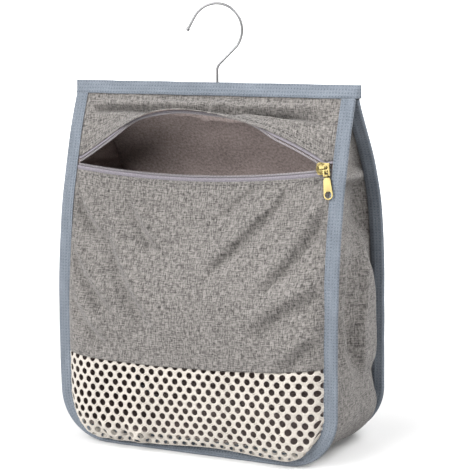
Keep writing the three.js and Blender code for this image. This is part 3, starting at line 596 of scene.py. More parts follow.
class Graph:
    """A material with one Principled shader, whose sockets take values, colours or expressions."""

    def __init__(self, name):
        self.material = bpy.data.materials.new(name)
        self.material.use_nodes = True
        self.tree = self.material.node_tree
        self.shader = self.tree.nodes["Principled BSDF"]

    def put(self, socket, value):
        if isinstance(value, Value):
            self.tree.links.new(value.socket, socket)
        elif isinstance(value, tuple) and len(value) == 3 and socket.type == "RGBA":
            socket.default_value = (*value, 1.0)
        else:
            socket.default_value = value

    def node(self, kind, settings, *inputs, output=0, **named):
        made = self.tree.nodes.new(kind)
        for key, value in settings.items():
            setattr(made, key, value)
        for i, value in enumerate(inputs):
            if value is not None:
                self.put(made.inputs[i], value)
        for key, value in named.items():
            self.put(made.inputs[key.replace("_", " ")], value)
        return Value(self, made.outputs[output])

    def flat(self, across, along, turn=0.0):
        """Place on the cloth as it was cut, stretched to so many steps a metre across and along."""
        uv = self.node("ShaderNodeUVMap", {"uv_map": "flat"})
        return self.node("ShaderNodeMapping", {}, uv, Rotation=(0, 0, turn), Scale=(across, along, 1.0))

    def place(self, x, y, z):
        coordinates = self.node("ShaderNodeTexCoord", {}, output=3)
        return self.node("ShaderNodeMapping", {}, coordinates, Scale=(x, y, z))

    def noise(self, vector, scale=1.0, detail=2.0, rough=0.5):
        return self.node("ShaderNodeTexNoise", {}, Vector=vector, Scale=scale, Detail=detail, Roughness=rough)

    def wave(self, vector, period, axis="X"):
        """Bands across the axis, so many millimetres apart."""
        settings = {"wave_type": "BANDS", "bands_direction": axis, "wave_profile": "SIN"}
        scale = math.pi / 10 / (period * MM)
        return self.node("ShaderNodeTexWave", settings, Vector=vector, Scale=scale, output=1)

    def spread(self, value, low, high, start=0.0, end=1.0):
        return self.node("ShaderNodeMapRange", {}, value, low, high, start, end)

    def mix(self, factor, first, second):
        made = self.tree.nodes.new("ShaderNodeMix")
        made.data_type = "RGBA"
        self.put(made.inputs[0], factor)
        self.put(made.inputs[6], first)
        self.put(made.inputs[7], second)
        return Value(self, made.outputs[2])

    def bump(self, height, strength, distance):
        return self.node("ShaderNodeBump", {}, Height=height, Strength=strength, Distance=distance)

    def finish(self, **sockets):
        for key, value in sockets.items():
            self.put(self.shader.inputs[key.replace("_", " ")], value)
        return self.material


def melange_cloth(name, dark, light):
    """Plain weave of mixed grey yarns, with slubs along both threads."""
    g = Graph(name)
    warp = g.noise(g.flat(900, 170), detail=3, rough=0.75)
    weft = g.noise(g.flat(170, 900), detail=3, rough=0.75)
    slub = g.noise(g.flat(420, 45), detail=2)
    cross_slub = g.noise(g.flat(45, 420), detail=2)
    cloud = g.noise(g.flat(60, 60), detail=3)
    yarn = warp * 0.49 + weft * 0.43 + slub * 0.09 + cross_slub * 0.07 + cloud * 0.04
    tone = g.spread(yarn, 0.475, 0.645)
    over = g.wave(g.flat(1, 1), 0.8, "X")
    under = g.wave(g.flat(1, 1), 0.8, "Y")
    weave = over * under + warp * 0.8 + weft * 0.7
    colour = g.mix(tone, dark, light)
    return g.finish(Base_Color=colour, Roughness=g.spread(tone, 0, 1, 0.95, 0.84),
                    Normal=g.bump(weave, 0.6, 0.0005), Sheen_Weight=0.12, Specular_IOR_Level=0.2)


def coated_inside(name, dark, light):
    """Thin brownish coating on the inside of the cloth, speckled by the weave under it."""
    g = Graph(name)
    speckle = g.noise(g.flat(420, 420), detail=3, rough=0.75)
    cloud = g.noise(g.flat(30, 30), detail=2)
    tone = g.spread(speckle * 0.8 + cloud * 0.2, 0.38, 0.62)
    return g.finish(Base_Color=g.mix(tone, dark, light), Roughness=g.spread(speckle, 0.3, 0.7, 0.82, 0.66),
                    Normal=g.bump(speckle, 0.4, 0.0004), Specular_IOR_Level=0.3)


def ribbed_tape(name, dark, light):
    """Woven tape with fine ribs across it and rows of dark dots where its yarns dip."""
    g = Graph(name)
    ribs = g.wave(g.flat(1, 1), 2.9, "Y")
    columns = g.wave(g.flat(1, 1), 3.4, "X")
    fuzz = g.noise(g.flat(950, 950), detail=3, rough=0.65)
    shade = g.noise(g.flat(90, 30), detail=2)
    weave = ribs * columns
    tone = g.spread(fuzz * 0.75 + shade * 0.35 - weave ** 3.0 * 0.26, 0.32, 0.68)
    colour = g.mix(tone, dark, light)
    return g.finish(Base_Color=colour, Roughness=g.spread(fuzz, 0.3, 0.7, 0.92, 0.8),
                    Normal=g.bump(fuzz * 0.7 - weave, 0.6, 0.0005), Sheen_Weight=0.1,
                    Specular_IOR_Level=0.25)


def knitted_net(name):
    g = Graph(name)
    loops = g.wave(g.flat(1, 1), 0.75, "X") * g.wave(g.flat(1, 1), 0.75, "Y")
    fuzz = g.noise(g.flat(700, 700), detail=2)
    colour = g.mix(g.spread(loops * 0.5 + fuzz, 0.3, 1.0), (0.36, 0.327, 0.29), (0.51, 0.477, 0.43))
    return g.finish(Base_Color=colour, Roughness=g.spread(fuzz, 0.3, 0.7, 0.88, 0.72),
                    Normal=g.bump(loops + fuzz, 0.45, 0.0004), Specular_IOR_Level=0.3)


def zip_tape_finish(name):
    g = Graph(name)
    twill = g.wave(g.flat(1, 1, math.radians(35)), 0.65, "X")
    fuzz = g.noise(g.flat(800, 800), detail=2)
    colour = g.mix(g.spread(twill * 0.5 + fuzz, 0.4, 1.1), (0.115, 0.105, 0.12), (0.25, 0.232, 0.258))
    return g.finish(Base_Color=colour, Roughness=g.spread(fuzz, 0.3, 0.7, 0.88, 0.75),
                    Normal=g.bump(twill + fuzz, 0.4, 0.0003), Specular_IOR_Level=0.25)


def nylon_coil(name):
    g = Graph(name)
    haze = g.noise(g.place(500, 500, 500), detail=2)
    colour = g.mix(haze, (0.24, 0.225, 0.235), (0.38, 0.36, 0.37))
    return g.finish(Base_Color=colour, Roughness=g.spread(haze, 0.3, 0.7, 0.34, 0.5), Specular_IOR_Level=0.45)


def polished_brass(name):
    g = Graph(name)
    haze = g.noise(g.place(220, 220, 220), detail=3)
    scratch = g.noise(g.place(2600, 300, 900), detail=2)
    colour = g.mix(haze, (0.17, 0.132, 0.05), (0.265, 0.218, 0.1))
    rough = g.spread(haze * 0.6 + scratch * 0.4, 0.35, 0.65, 0.36, 0.5)
    return g.finish(Base_Color=colour, Metallic=1.0, Roughness=rough, Normal=g.bump(scratch, 0.08, 0.0001))


def satin_steel(name):
    g = Graph(name)
    brushed = g.noise(g.place(900, 900, 120), detail=3)
    haze = g.noise(g.place(90, 90, 90), detail=2)
    colour = g.mix(haze, (0.15, 0.15, 0.153), (0.27, 0.27, 0.275))
    rough = g.spread(brushed, 0.3, 0.7, 0.3, 0.48)
    return g.finish(Base_Color=colour, Metallic=1.0, Roughness=rough, Normal=g.bump(brushed, 0.12, 0.0001))


# Brown wood grain, darker than the wood itself: painted shade, so the batten seen inside the mouth reads as
# shadow.
def shade_darkened_wood(name):
    g = Graph(name)
    rings = g.noise(g.place(14, 260, 260), detail=4, rough=0.6)
    pores = g.noise(g.place(60, 1800, 1800), detail=2)
    colour = g.mix(g.spread(rings * 0.8 + pores * 0.2, 0.3, 0.7), (0.045, 0.028, 0.018), (0.12, 0.08, 0.05))
    return g.finish(Base_Color=colour, Roughness=g.spread(pores, 0.3, 0.7, 0.6, 0.75),
                    Normal=g.bump(rings, 0.2, 0.0004))


def sewing_thread(name, dark, light):
    g = Graph(name)
    ply = g.noise(g.place(1500, 1500, 1500), detail=2)
    colour = g.mix(ply, dark, light)
    return g.finish(Base_Color=colour, Roughness=0.7, Normal=g.bump(ply, 0.4, 0.0002))


CLOTH_FINISH = melange_cloth("grey_melange", (0.042, 0.0385, 0.0365), (0.238, 0.223, 0.211))
INSIDE_FINISH = coated_inside("coated_inside", (0.2, 0.163, 0.154), (0.4, 0.33, 0.312))
BINDING_FINISH = ribbed_tape("blue_grey_binding", (0.068, 0.081, 0.098), (0.166, 0.187, 0.217))
NET_FINISH = knitted_net("off_white_net")
TAPE_FINISH = zip_tape_finish("mauve_zip_tape")
COIL_FINISH = nylon_coil("mauve_nylon")
BRASS_FINISH = polished_brass("brass")
STEEL_FINISH = satin_steel("satin_steel")
# The batten's brown is darkened as painted shade, to match the shadow inside the mouth.
WOOD_WITH_PAINTED_SHADE = shade_darkened_wood("shade_darkened_batten")
BLUE_THREAD = sewing_thread("blue_thread", (0.09, 0.11, 0.135), (0.17, 0.2, 0.235))
GREY_THREAD = sewing_thread("grey_thread", (0.02, 0.0185, 0.018), (0.06, 0.056, 0.054))


def dress(obj, body, slot, *nodes):
    """Joins a piece to its body and hides the CAD nodes it stands for; its slot, meant for its finish, is not
    used.
    """
    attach(obj, body)
    if nodes:
        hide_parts(*nodes)
    return obj


# Stitching

def stitch_shape():
    """One stitch: a short round thread whose ends dip into the cloth, along X."""
    deselect()
    bpy.ops.mesh.primitive_uv_sphere_add(segments=6, ring_count=6, radius=1.0)
    obj = bpy.context.object
    size = (STITCH_LENGTH / 2, STITCH_WIDTH / 2, STITCH_WIDTH / 2)
    with editing(obj):
        bpy.ops.transform.rotate(value=math.pi / 2, orient_axis="Y", center_override=(0, 0, 0))
        bpy.ops.transform.resize(value=size, center_override=(0, 0, 0))
    places = np.array([v.co for v in obj.data.vertices])
    faces = [tuple(p.vertices) for p in obj.data.polygons]
    bpy.data.objects.remove(obj)
    places[:, 2] -= STITCH_DIP * (places[:, 0] / (STITCH_LENGTH / 2)) ** 2
    return places, faces


STITCH_PLACES, STITCH_FACES = stitch_shape()


def resample(line, step):
    run = np.concatenate([[0], np.cumsum(np.linalg.norm(np.diff(line, axis=0), axis=1))])
    count = int(run[-1] / step)
    where = (np.arange(count) + 0.5) * step
    return np.stack([np.interp(where, run, line[:, k]) for k in range(3)], -1), where, run


def stitch_row(name, line, normals, material, slot, scale=1.0):
    """Stitches laid along a line of places, each turned to the line and its surface."""
    centres, where, run = resample(line, STITCH_PITCH * scale)
    ups = unit(np.stack([np.interp(where, run, normals[:, k]) for k in range(3)], -1))
    ahead = unit(np.gradient(centres, axis=0))
    sides = unit(np.cross(ups, ahead))
    ups = np.cross(ahead, sides)
    along, aside, above = (scale * STITCH_PLACES.T)[:, None, :, None]
    places = centres[:, None] + along * ahead[:, None] + aside * sides[:, None] + above * ups[:, None]
    count = len(STITCH_PLACES)
    faces = [tuple(k + i * count for k in face) for i in range(len(centres)) for face in STITCH_FACES]
    obj = finish_mesh(name, places, faces, None, material)
    recalculate(obj)
    return dress(obj, "bag", slot)


# Cloth panels

def half_width(z):
    down = np.clip(FOOT + EDGE_RADIUS - z, 0, EDGE_RADIUS)
    return PANEL_HALF - EDGE_RADIUS + np.sqrt(EDGE_RADIUS ** 2 - down ** 2)


def back_cloth():
    """The whole back, rounded at its lower corners."""
    share = np.linspace(-1, 1, 121)[None, :]
    low = FOOT + np.linspace(0, 1, 40) ** 1.6 * EDGE_RADIUS
    z = np.concatenate([low, np.linspace(low[-1], TOP, 110)[1:]])[:, None]
    x = share * half_width(z)
    grid = back.full(x, z * np.ones_like(share))
    obj = cloth_sheet("back_cloth", grid, CLOTH_FINISH, (0, 400, 150), inside=INSIDE_FINISH)
    dress(obj, "bag", "cloth", "back_panel")


def lower_cloth():
    """Front cloth between the net and the zip, with a raised hem along the net."""
    x = np.linspace(-PANEL_HALF, PANEL_HALF, 141)[None, :]
    share = np.linspace(0, 1, 111)[:, None]
    low, high = net_seam(x), zip_height(x, PANEL_EDGE)
    z = low + (high - low) * share
    grid = front.full(x * np.ones_like(share), z)
    hem = np.exp(-((z - low) / HEM_RUN) ** 2)
    grid[..., 1] -= HEM_RISE * hem * smooth((inset_at(x, z) - BINDING_WIDTH) / 4)
    obj = cloth_sheet("front_cloth", grid, CLOTH_FINISH, (0, -400, 150), inside=INSIDE_FINISH)
    dress(obj, "bag", "cloth", "front_lower_panel")
    return grid


# Creases of the flap, by place along the bag and share of the way down from the top binding
FLAP_CREASES = [
    ((4, 0.02), (-4, 0.36), 4, -3.4),
    ((13, 0.04), (20, 0.34), 5, 2.6),
    ((-26, 0.34), (-8, 0.24), 4, 3.0),
    ((-30, 0.42), (-6, 0.34), 4, -2.6),
    ((24, 0.1), (62, 0.42), 6, -2.4),
    ((-80, 0.2), (-40, 0.4), 9, -2.2),
    ((84, 0.5), (30, 0.46), 8, 2.0),
    ((110, 0.2), (66, 0.42), 9, -2.0),
]
FLAP_RUN = 60.0
FLAP_HIDDEN = 0.16
FLAP_OPEN = 1 - FLAP_HIDDEN
FLAP_LOOSE = (-135, 130, 35, 35)
FLAP_BULGE = 3.4
FLAP_BULGE_AT = 0.13
FLAP_BULGE_HALF = 0.08
FLAP_VALLEY = 9.0
FLAP_VALLEY_AT = 0.29
FLAP_VALLEY_HALF = 0.075


def flap_grid():
    """From under the top binding down, then out over the open mouth to the lip."""
    x = np.linspace(-PANEL_HALF, PANEL_HALF, 181)
    share = np.linspace(0, 1, 61)
    start = front.flat(x, TOP - 1.0)
    hinge = front.flat(x, SIDE_TOP - 2.0)
    end = lip(x, PANEL_EDGE)
    lift = mouth_lift(x)[:, None]
    down = unit(hinge - start)
    hang = lip_hang(x)
    flat_length = np.linalg.norm(front.flat(x, zip_height(x, -PANEL_EDGE)) - hinge, axis=1)[:, None]
    reach = flat_length * (0.34 + 0.1 * lift)
    first = hinge + down * flat_length * (0.33 + 0.05 * lift)
    last = end - unit((1 - lift) * hang + lift * np.array([0, -1.0, 0.12])) * reach
    rows = []
    for s in share:
        if s < FLAP_HIDDEN:
            rows.append(start + (hinge - start) * (s / FLAP_HIDDEN))
            continue
        t = (s - FLAP_HIDDEN) / FLAP_OPEN
        rows.append((1 - t) ** 3 * hinge + 3 * t * (1 - t) ** 2 * first
                    + 3 * t ** 2 * (1 - t) * last + t ** 3 * end)
    grid = np.stack(rows)
    normal = outward(grid)
    t = np.clip((share - FLAP_HIDDEN) / FLAP_OPEN, 0, 1)[:, None]
    room = smooth(t / 0.1) * smooth((1 - t) / 0.2) * smooth((INNER_HALF - np.abs(x)) / CREASE_FADE)[None, :]
    worn = 0.6 * ripple(x[None, :], FLAP_RUN * t, (71, 43), 1.1)
    for (x0, t0), (x1, t1), width, height in FLAP_CREASES:
        ends = (x0, FLAP_RUN * t0), (x1, FLAP_RUN * t1)
        worn = worn + crease(x[None, :], FLAP_RUN * t, *ends, width, height)
    loose = band(x, *FLAP_LOOSE)[None, :]
    fall = (FLAP_VALLEY_AT + np.where(x > 0, 0.12, 0.07) * x / 110 + 0.02 * np.sin(x / 21))[None, :]
    uneven = 0.75 + 0.25 * np.sin(x / 27 + 0.6)[None, :]
    worn = worn + loose * FLAP_BULGE * np.exp(-((t - FLAP_BULGE_AT) / FLAP_BULGE_HALF) ** 2)
    worn = worn - loose * uneven * FLAP_VALLEY * np.exp(-((t - fall) / FLAP_VALLEY_HALF) ** 2)
    return grid + normal * (room * worn)[..., None]


def flap_cloth():
    """Front cloth above the zip."""
    grid = flap_grid()
    obj = cloth_sheet("flap_cloth", grid, CLOTH_FINISH, (0, -400, 500), inside=INSIDE_FINISH)
    dress(obj, "bag", "cloth", "front_upper_panel")
    return grid


# Gusset, measured by run from the top in millimetres and by percent of the depth from the front

GUSSET_BOW = 6.0
GUSSET_FOOT_BOW = 12.5
GUSSET_LINE = 66.0
GUSSET_LINE_FALL = 5.0
GUSSET_SUNK = 10.0
GUSSET_LEDGE = 3.0
GUSSET_BASIN = 18.0
BASIN_ENDS = ((146, 34), (196, 84))
GUSSET_APRON = 9.0
APRON_EDGE = 57.0
APRON_END = 95.0
APRON_RUN = (118, 272, 75, 40)
CORNER_BULGE = 4.0
CORNER_ROOM = 2.6
GUSSET_LEAST = 0.6
GUSSET_SOFT = 0.8

# Ridges and dips of its sides: start, end, width, height and bow
GUSSET_FOLDS = [
    ((72, 88), (134, 92), 12, -6.0, 0),
    ((118, 46), (180, 34), 13, 4.0, 4),
    ((138, 10), (244, 20), 16, -12.0, 2),
    ((122, 80), (212, 72), 8, 5.0, 2),
    ((160, 71), (262, 84), 8, 5.0, -2),
    ((140, 48), (252, 52), 9, -9.0, 3),
    ((200, 34), (266, 44), 10, 2.4, 5),
]


def gusset_wear(s, share, length):
    """Folds down both sides, where the strip is fuller than the seams that hold it, by run from the top."""
    half = np.minimum(s, length - s)
    depth = 100 * share
    line = GUSSET_LINE + GUSSET_LINE_FALL * share
    sunk = -GUSSET_SUNK * smooth((line - half) / 8) * smooth(half / 25)
    ledge = GUSSET_LEDGE * np.exp(-((half - line - 3) / 4) ** 2)
    shoulder = sum(smooth((end - half) / fade) for end, fade in BASIN_ENDS) / 2
    basin = -GUSSET_BASIN * smooth((half - line) / 14) * shoulder * (0.6 + 0.4 * share)
    edge = APRON_EDGE - 4 * np.sin(half / 16)
    apron = GUSSET_APRON * band(depth, edge, APRON_END, 9, 10) * band(half, *APRON_RUN)
    worn = sunk + ledge + basin + apron
    for fold in GUSSET_FOLDS:
        worn = worn + crease(half, depth, *fold)
    return worn + 0.8 * ripple(s, depth, (67, 45, 31), 0.9)


def gusset_cloth():
    """One strip round both sides and the foot, its edges turned in under the bindings."""
    path = Path(2.0).column()
    share = np.concatenate([[0, 0], np.linspace(0, 1, 61), [1, 1]])[None, :]
    inset = np.full(share.shape, GUSSET_ROOT)
    inset[0, [0, -1]] = 1.0
    inset[0, [1, -2]] = GUSSET_ROOT * 0.55
    depth = np.linalg.norm(front.edge(path, 0, 0) - back.edge(path, 0, 0), axis=-1)
    full = np.minimum(1, depth / (FRONT_DEPTH + BACK_DEPTH))
    foot = smooth((FOOT + EDGE_RADIUS + 35 - path.z) / 60)
    bow = GUSSET_BOW + (GUSSET_FOOT_BOW - GUSSET_BOW) * foot
    blunt = 3 + 7 * foot * (share > 0.5)
    swell = 1 - np.abs(2 * share - 1) ** blunt
    worn = gusset_wear(path.s, share, path.length) * swell ** 0.6 * (1 - 0.75 * foot)
    corner = np.abs(2 * path.out_x * path.out_z) * smooth((share - 0.5) / 0.25)
    low = GUSSET_LEAST - CORNER_ROOM * corner * swell
    inset = inset - full * (bow * swell + worn) - CORNER_BULGE * corner * swell
    inset = low + np.logaddexp(0, (inset - low) / GUSSET_SOFT) * GUSSET_SOFT
    near, far = front.edge(path, inset, FLANGE), back.edge(path, inset, FLANGE)
    grid = near + (far - near) * share[..., None]
    obj = cloth_sheet("gusset_cloth", grid, CLOTH_FINISH, (0, 0, -300), inside=INSIDE_FINISH)
    dress(obj, "bag", "cloth", "gusset")


# Net

def net_height(run):
    """Height on the panel at a run up the net from its seam, so that the rows stay even over the swell."""
    z = np.linspace(FOOT, ZIP_FOOT, 300)
    steps = np.linalg.norm(np.diff(front.full(0 * z, z), axis=0), axis=1)
    length = np.concatenate([[0], np.cumsum(steps)])
    return np.interp(run, length - np.interp(NET_MIDDLE, z, length), z)


def net_cells():
    """Middles of the staggered cells, on under the binding and behind the cloth."""
    columns = int(PANEL_HALF / NET_PITCH) + 1
    for row in range(-NET_ROWS, NET_ROWS_HIDDEN):
        run = row * NET_ROW
        z = net_height(run)
        for i in range(-columns, columns + 1):
            x = (i + (row % 2) / 2) * NET_PITCH
            if inset_at(x, z) > NET_MARGIN and z < net_seam(x) + NET_HIDDEN:
                yield x, run


def net_window():
    """Six-sided cells with an oval hole in each, laid over the swollen foot."""
    rise = NET_ROW * 2 / 3
    hexagon = [(0.5, 0.5), (0, 1), (-0.5, 0.5), (-0.5, -0.5), (0, -1), (0.5, -0.5)]
    corners = [(x * NET_PITCH, z * rise) for x, z in hexagon]
    rim = []
    for k, (x, z) in enumerate(corners):
        next_x, next_z = corners[(k + 1) % len(corners)]
        rim += [(x, z), ((x + next_x) / 2, (z + next_z) / 2)]
    flat, faces, known = [], [], {}

    def point(x, z):
        key = (round(x, 2), round(z, 2))
        if key not in known:
            known[key] = len(flat)
            flat.append((x, z))
        return known[key]

    for x, z in net_cells():
        outer = [point(x + dx, z + dz) for dx, dz in rim]
        inner = []
        for dx, dz in rim:
            turn = math.atan2(dz / NET_HOLE_HEIGHT, dx / NET_HOLE_WIDTH)
            across = NET_HOLE_WIDTH / 2 * math.cos(turn)
            up = NET_HOLE_HEIGHT / 2 * math.sin(turn)
            inner.append(point(x + across, z + up))
        for k in range(len(rim)):
            n = (k + 1) % len(rim)
            faces.append((outer[k], outer[n], inner[n], inner[k]))
    flat = np.array(flat)
    x, z = flat[:, 0], net_height(flat[:, 1])
    behind = -NET_BEHIND * smooth((z - net_seam(x) + 3.0) / 3.5)
    obj = finish_mesh("net_window", front.full(x, z, behind), faces, flat, NET_FINISH)
    point_out(obj, (0, -400, 60))
    apply_modifier(obj, "SOLIDIFY", thickness=NET_THICKNESS * MM, offset=0.0)
    apply_modifier(obj, "SUBSURF", levels=1, render_levels=1)
    dress(obj, "bag", "net", "mesh_panel")


# Bindings

def side_binding(side, name, node):
    """Tape folded over a panel's edge and the gusset's, with two rows of stitches."""
    path = Path(1.0)
    turn = np.linspace(math.pi / 2, 3 * math.pi / 2, 9)
    middle, half = (OUTER_FACE + INNER_FACE) / 2, (OUTER_FACE - INNER_FACE) / 2
    fold = BINDING_FOLD
    outside = [(BINDING_WIDTH, OUTER_FACE - 0.15), (BINDING_WIDTH - 0.6, OUTER_FACE), (9.6, OUTER_FACE),
               (7.5, OUTER_FACE), (5, OUTER_FACE), (3, OUTER_FACE)]
    outside += [(fold + (fold + FOOT) * math.cos(a), middle + half * math.sin(a)) for a in turn]
    outside += [(3, INNER_FACE), (7, INNER_FACE), (BINDING_WIDTH, INNER_FACE)]
    inside = [(BINDING_WIDTH, INNER_FACE + TAPE), (7, INNER_FACE + TAPE)]
    inside += [(fold + (fold + SEAM_GAP) * math.cos(a), middle + (half - TAPE) * math.sin(a))
               for a in turn[::-2]]
    inside += [(7, OUTER_FACE - TAPE), (BINDING_WIDTH, OUTER_FACE - TAPE)]
    section = np.array(outside + inside)
    wander = BINDING_WANDER * ripple(path.s, 0 * path.s, (37, 61, 23), 0.3)
    lift = BINDING_LIFT * ripple(path.s, 0 * path.s, (17, 29), 1.9)
    rings = []
    for k, (inset, offset) in enumerate(section):
        free = 1.0 if inset < BINDING_WIDTH - 1 else 0.5
        dimple = 0.0
        if k < len(outside) and 9 < inset < 10.5 and offset > 0:
            dimple = -STITCH_DIMPLE * (1 + np.cos(2 * math.pi * path.s / STITCH_PITCH)) / 2
        rings.append(side.edge(path, inset + wander * free, offset + lift * (offset > 0) + dimple))
    obj = closed_sweep(name, np.stack(rings, 1), BINDING_FINISH)
    dress(obj, "bag", "binding", node)
    for inset, label in BINDING_ROWS:
        line = side.edge(path, inset, OUTER_FACE + 0.02 + lift)
        normal = unit(side.edge(path, inset, OUTER_FACE + 1) - side.edge(path, inset, OUTER_FACE))
        stitch_row(f"{name}_{label}_stitches", line, normal, BLUE_THREAD, "binding")


def top_binding():
    """Tape folded over the top edge, its ends sewn shut."""
    half = BAG_WIDTH / 2 + TOP_BINDING_OVERHANG
    x = np.linspace(-half, half, 293)
    foot = SIDE_TOP + SEAM_GAP
    legs = np.linspace(foot, BAG_HEIGHT - TOP_ROUND, 7)
    face = [front.flat(x, np.minimum(z, TOP), OUTER_FACE) for z in legs]
    rear = [back.flat(x, np.minimum(z, TOP), OUTER_FACE) for z in legs]
    for places, z in list(zip(face, legs)) + list(zip(rear, legs)):
        places[:, 2] = z
    over = []
    for a in np.linspace(0, math.pi, 9)[1:-1]:
        share = (1 - math.cos(a)) / 2
        place = face[-1] + (rear[-1] - face[-1]) * share
        place[:, 2] = legs[-1] + TOP_ROUND * math.sin(a)
        over.append(place)
    outside = face + over + rear[::-1]
    inward = np.array([0, TAPE, 0])
    inside = [p - inward for p in rear[::2]] + [p + inward for p in face[::-2]]
    inside[3][:, 2] -= TAPE
    inside[4][:, 2] -= TAPE
    rings = np.stack(outside + inside, 1)
    wave = TOP_WAVE * ripple(x, 0 * x, (43, 71, 27), 0.8)
    sway = TOP_SWAY * ripple(x, 0 * x, (53, 31), 2.0)
    rings[..., 2] += wave[:, None]
    rings[..., 1] += sway[:, None]
    end = PANEL_HALF + TOP_SEWN_GAP
    sewn = smooth((np.abs(x) - end) / (half - end))[:, None]
    rings[..., 1] = SEAM_Y + (rings[..., 1] - SEAM_Y) * (1 - TOP_SEWN_SHUT * sewn)
    obj = closed_sweep("top_edge_binding", rings, BINDING_FINISH)
    dress(obj, "bag", "binding", "top_binding")
    for side, label in ((front, "front"), (back, "back")):
        line = side.flat(x, foot + TOP_ROW, OUTER_FACE)
        line[:, 2] = foot + TOP_ROW + wave
        line[:, 1] += sway + side.sign * 0.12
        normal = np.tile([0, float(side.sign), 0], (len(x), 1))
        stitch_row(f"top_binding_stitches_{label}", line[4:-4], normal[4:-4], BLUE_THREAD, "binding")


# Zip

def coil_helix(name, line, out, node):
    """A nylon coil wound along a line: its turns lie across the line and out of its plane."""
    centres, where, run = resample(line, COIL_PITCH / COIL_STEPS)
    outs = unit(np.stack([np.interp(where, run, out[:, k]) for k in range(3)], -1))
    ahead = unit(np.gradient(centres, axis=0))
    sides = np.cross(outs, ahead)
    turn = 2 * math.pi * where / COIL_PITCH
    wire = centres + sides * (COIL_ACROSS * np.cos(turn))[:, None] + outs * (COIL_OUT * np.sin(turn))[:, None]
    heading = unit(np.gradient(wire, axis=0))
    first = unit(np.cross(heading, outs + 0.01))
    second = np.cross(heading, first)
    angles = np.arange(COIL_SIDES) * 2 * math.pi / COIL_SIDES
    rings = (wire[:, None] + COIL_WIRE * np.cos(angles)[None, :, None] * first[:, None]
             + COIL_WIRE * np.sin(angles)[None, :, None] * second[:, None])
    obj = closed_sweep(name, rings, COIL_FINISH)
    dress(obj, "bag", "zip_coil", node)


def lower_zip():
    """Tape folded along the lower cloth's edge, and its coil."""
    x = np.linspace(-PANEL_HALF + 1, PANEL_HALF - 1, 161)
    hem = [(PANEL_EDGE + TAPE_HIDDEN, -1.1), (PANEL_EDGE + 2, -1.0), (PANEL_EDGE + 0.4, -0.95),
           (PANEL_EDGE - 0.8, -0.4), (PANEL_EDGE - 1.8, 0.1), (TAPE_EDGE + 0.7, 0.3), (TAPE_EDGE, 0.25),
           (TAPE_EDGE - 0.25, -0.3), (TAPE_EDGE - 0.4, -1.1), (COIL_CENTRE - 0.8, -1.25)]
    grid = np.stack([zip_point(x, below, offset) for below, offset in hem])
    obj = cloth_sheet("lower_zip_tape", grid, TAPE_FINISH, (0, -400, 260), TAPE)
    dress(obj, "bag", "zip_tape", "zip_tape_lower")
    inner = np.linspace(-INNER_HALF - 1, INNER_HALF + 1, 400)
    line = zip_point(inner, COIL_CENTRE)
    coil_helix("lower_zip_coil", line, np.tile(zip_out, (len(inner), 1)), "zip_coil_lower")


def upper_zip(flap):
    """Tape and coil along the lip, running on from the flap's edge."""
    x = np.linspace(-PANEL_HALF, PANEL_HALF, flap.shape[1])
    edge = flap[-1]
    behind = -outward(flap)[-2]
    hang = lip_hang(x)
    folded = smooth((mouth_lift(x)[:, None] - 0.45) / 0.4)
    stretched = [flap[-7] + behind * 1.15, edge + behind * 1.05]
    for run, depth in ((1.2, 0.6), (2.2, 0.2), (PANEL_EDGE - TAPE_EDGE, 0.0)):
        stretched.append(edge + hang * run + behind * depth)
    rows = []
    for place, row in zip(stretched, (-14, -11, -9, -7, -5)):
        rows.append(place + (flap[row] + behind * 1.2 - place) * folded)
    grid = np.stack(rows)[:, 1:-1]
    obj = cloth_sheet("upper_zip_tape", grid, TAPE_FINISH, (0, -400, 300), TAPE)
    dress(obj, "bag", "zip_tape", "zip_tape_upper")
    inside = np.abs(x) < INNER_HALF + 1
    line = edge + hang * (PANEL_EDGE - COIL_CENTRE)
    line = (line + (flap[-7] + behind * 2.3 - line) * folded)[inside]
    coil_helix("upper_zip_coil", line, -behind[inside], "zip_coil_upper")


def zip_stitches(lower, flap):
    """Rows of topstitching beside the zip, on the cloth."""
    for name, grid, row in (("lower_zip_stitches", lower, -3), ("upper_zip_stitches", flap, -6)):
        line = grid[row, 8:-8].copy()
        normal = (outward(grid) if grid is flap else -outward(grid))[row, 8:-8]
        stitch_row(name, line + normal * (CLOTH / 2 + 0.05), normal, GREY_THREAD, "cloth", ZIP_STITCH_SCALE)


# Slider and pull

def rounded_copy(name, node, body, width, segments, material, slot):
    """The CAD piece's own shape with its edges rounded as cast metal is."""
    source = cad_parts[node]
    obj = bpy.data.objects.new(name, source.data.copy())
    bpy.context.scene.collection.objects.link(obj)
    with editing(obj):
        bpy.ops.mesh.remove_doubles(threshold=0.00001)
        bpy.ops.mesh.dissolve_limited(angle_limit=math.radians(1))
    apply_modifier(obj, "BEVEL", width=width * MM, segments=segments, limit_method="ANGLE",
                   angle_limit=math.radians(35))
    obj.data.materials.clear()
    obj.data.materials.append(material)
    select_only(obj)
    bpy.ops.object.shade_smooth_by_angle(angle=math.radians(32))
    return dress(obj, body, slot, node)


def slider_frame():
    """The slider's own frame: along the zip, up and out of the bag."""
    step = 0.5
    middle = zip_point(SLIDER_X, 0.0)
    along = unit(zip_point(SLIDER_X + step, 0.0) - zip_point(SLIDER_X - step, 0.0))
    turn = Matrix((along, np.cross(zip_out, along), zip_out)).transposed().to_4x4()
    return Matrix.Translation(Vector(middle) * MM) @ turn


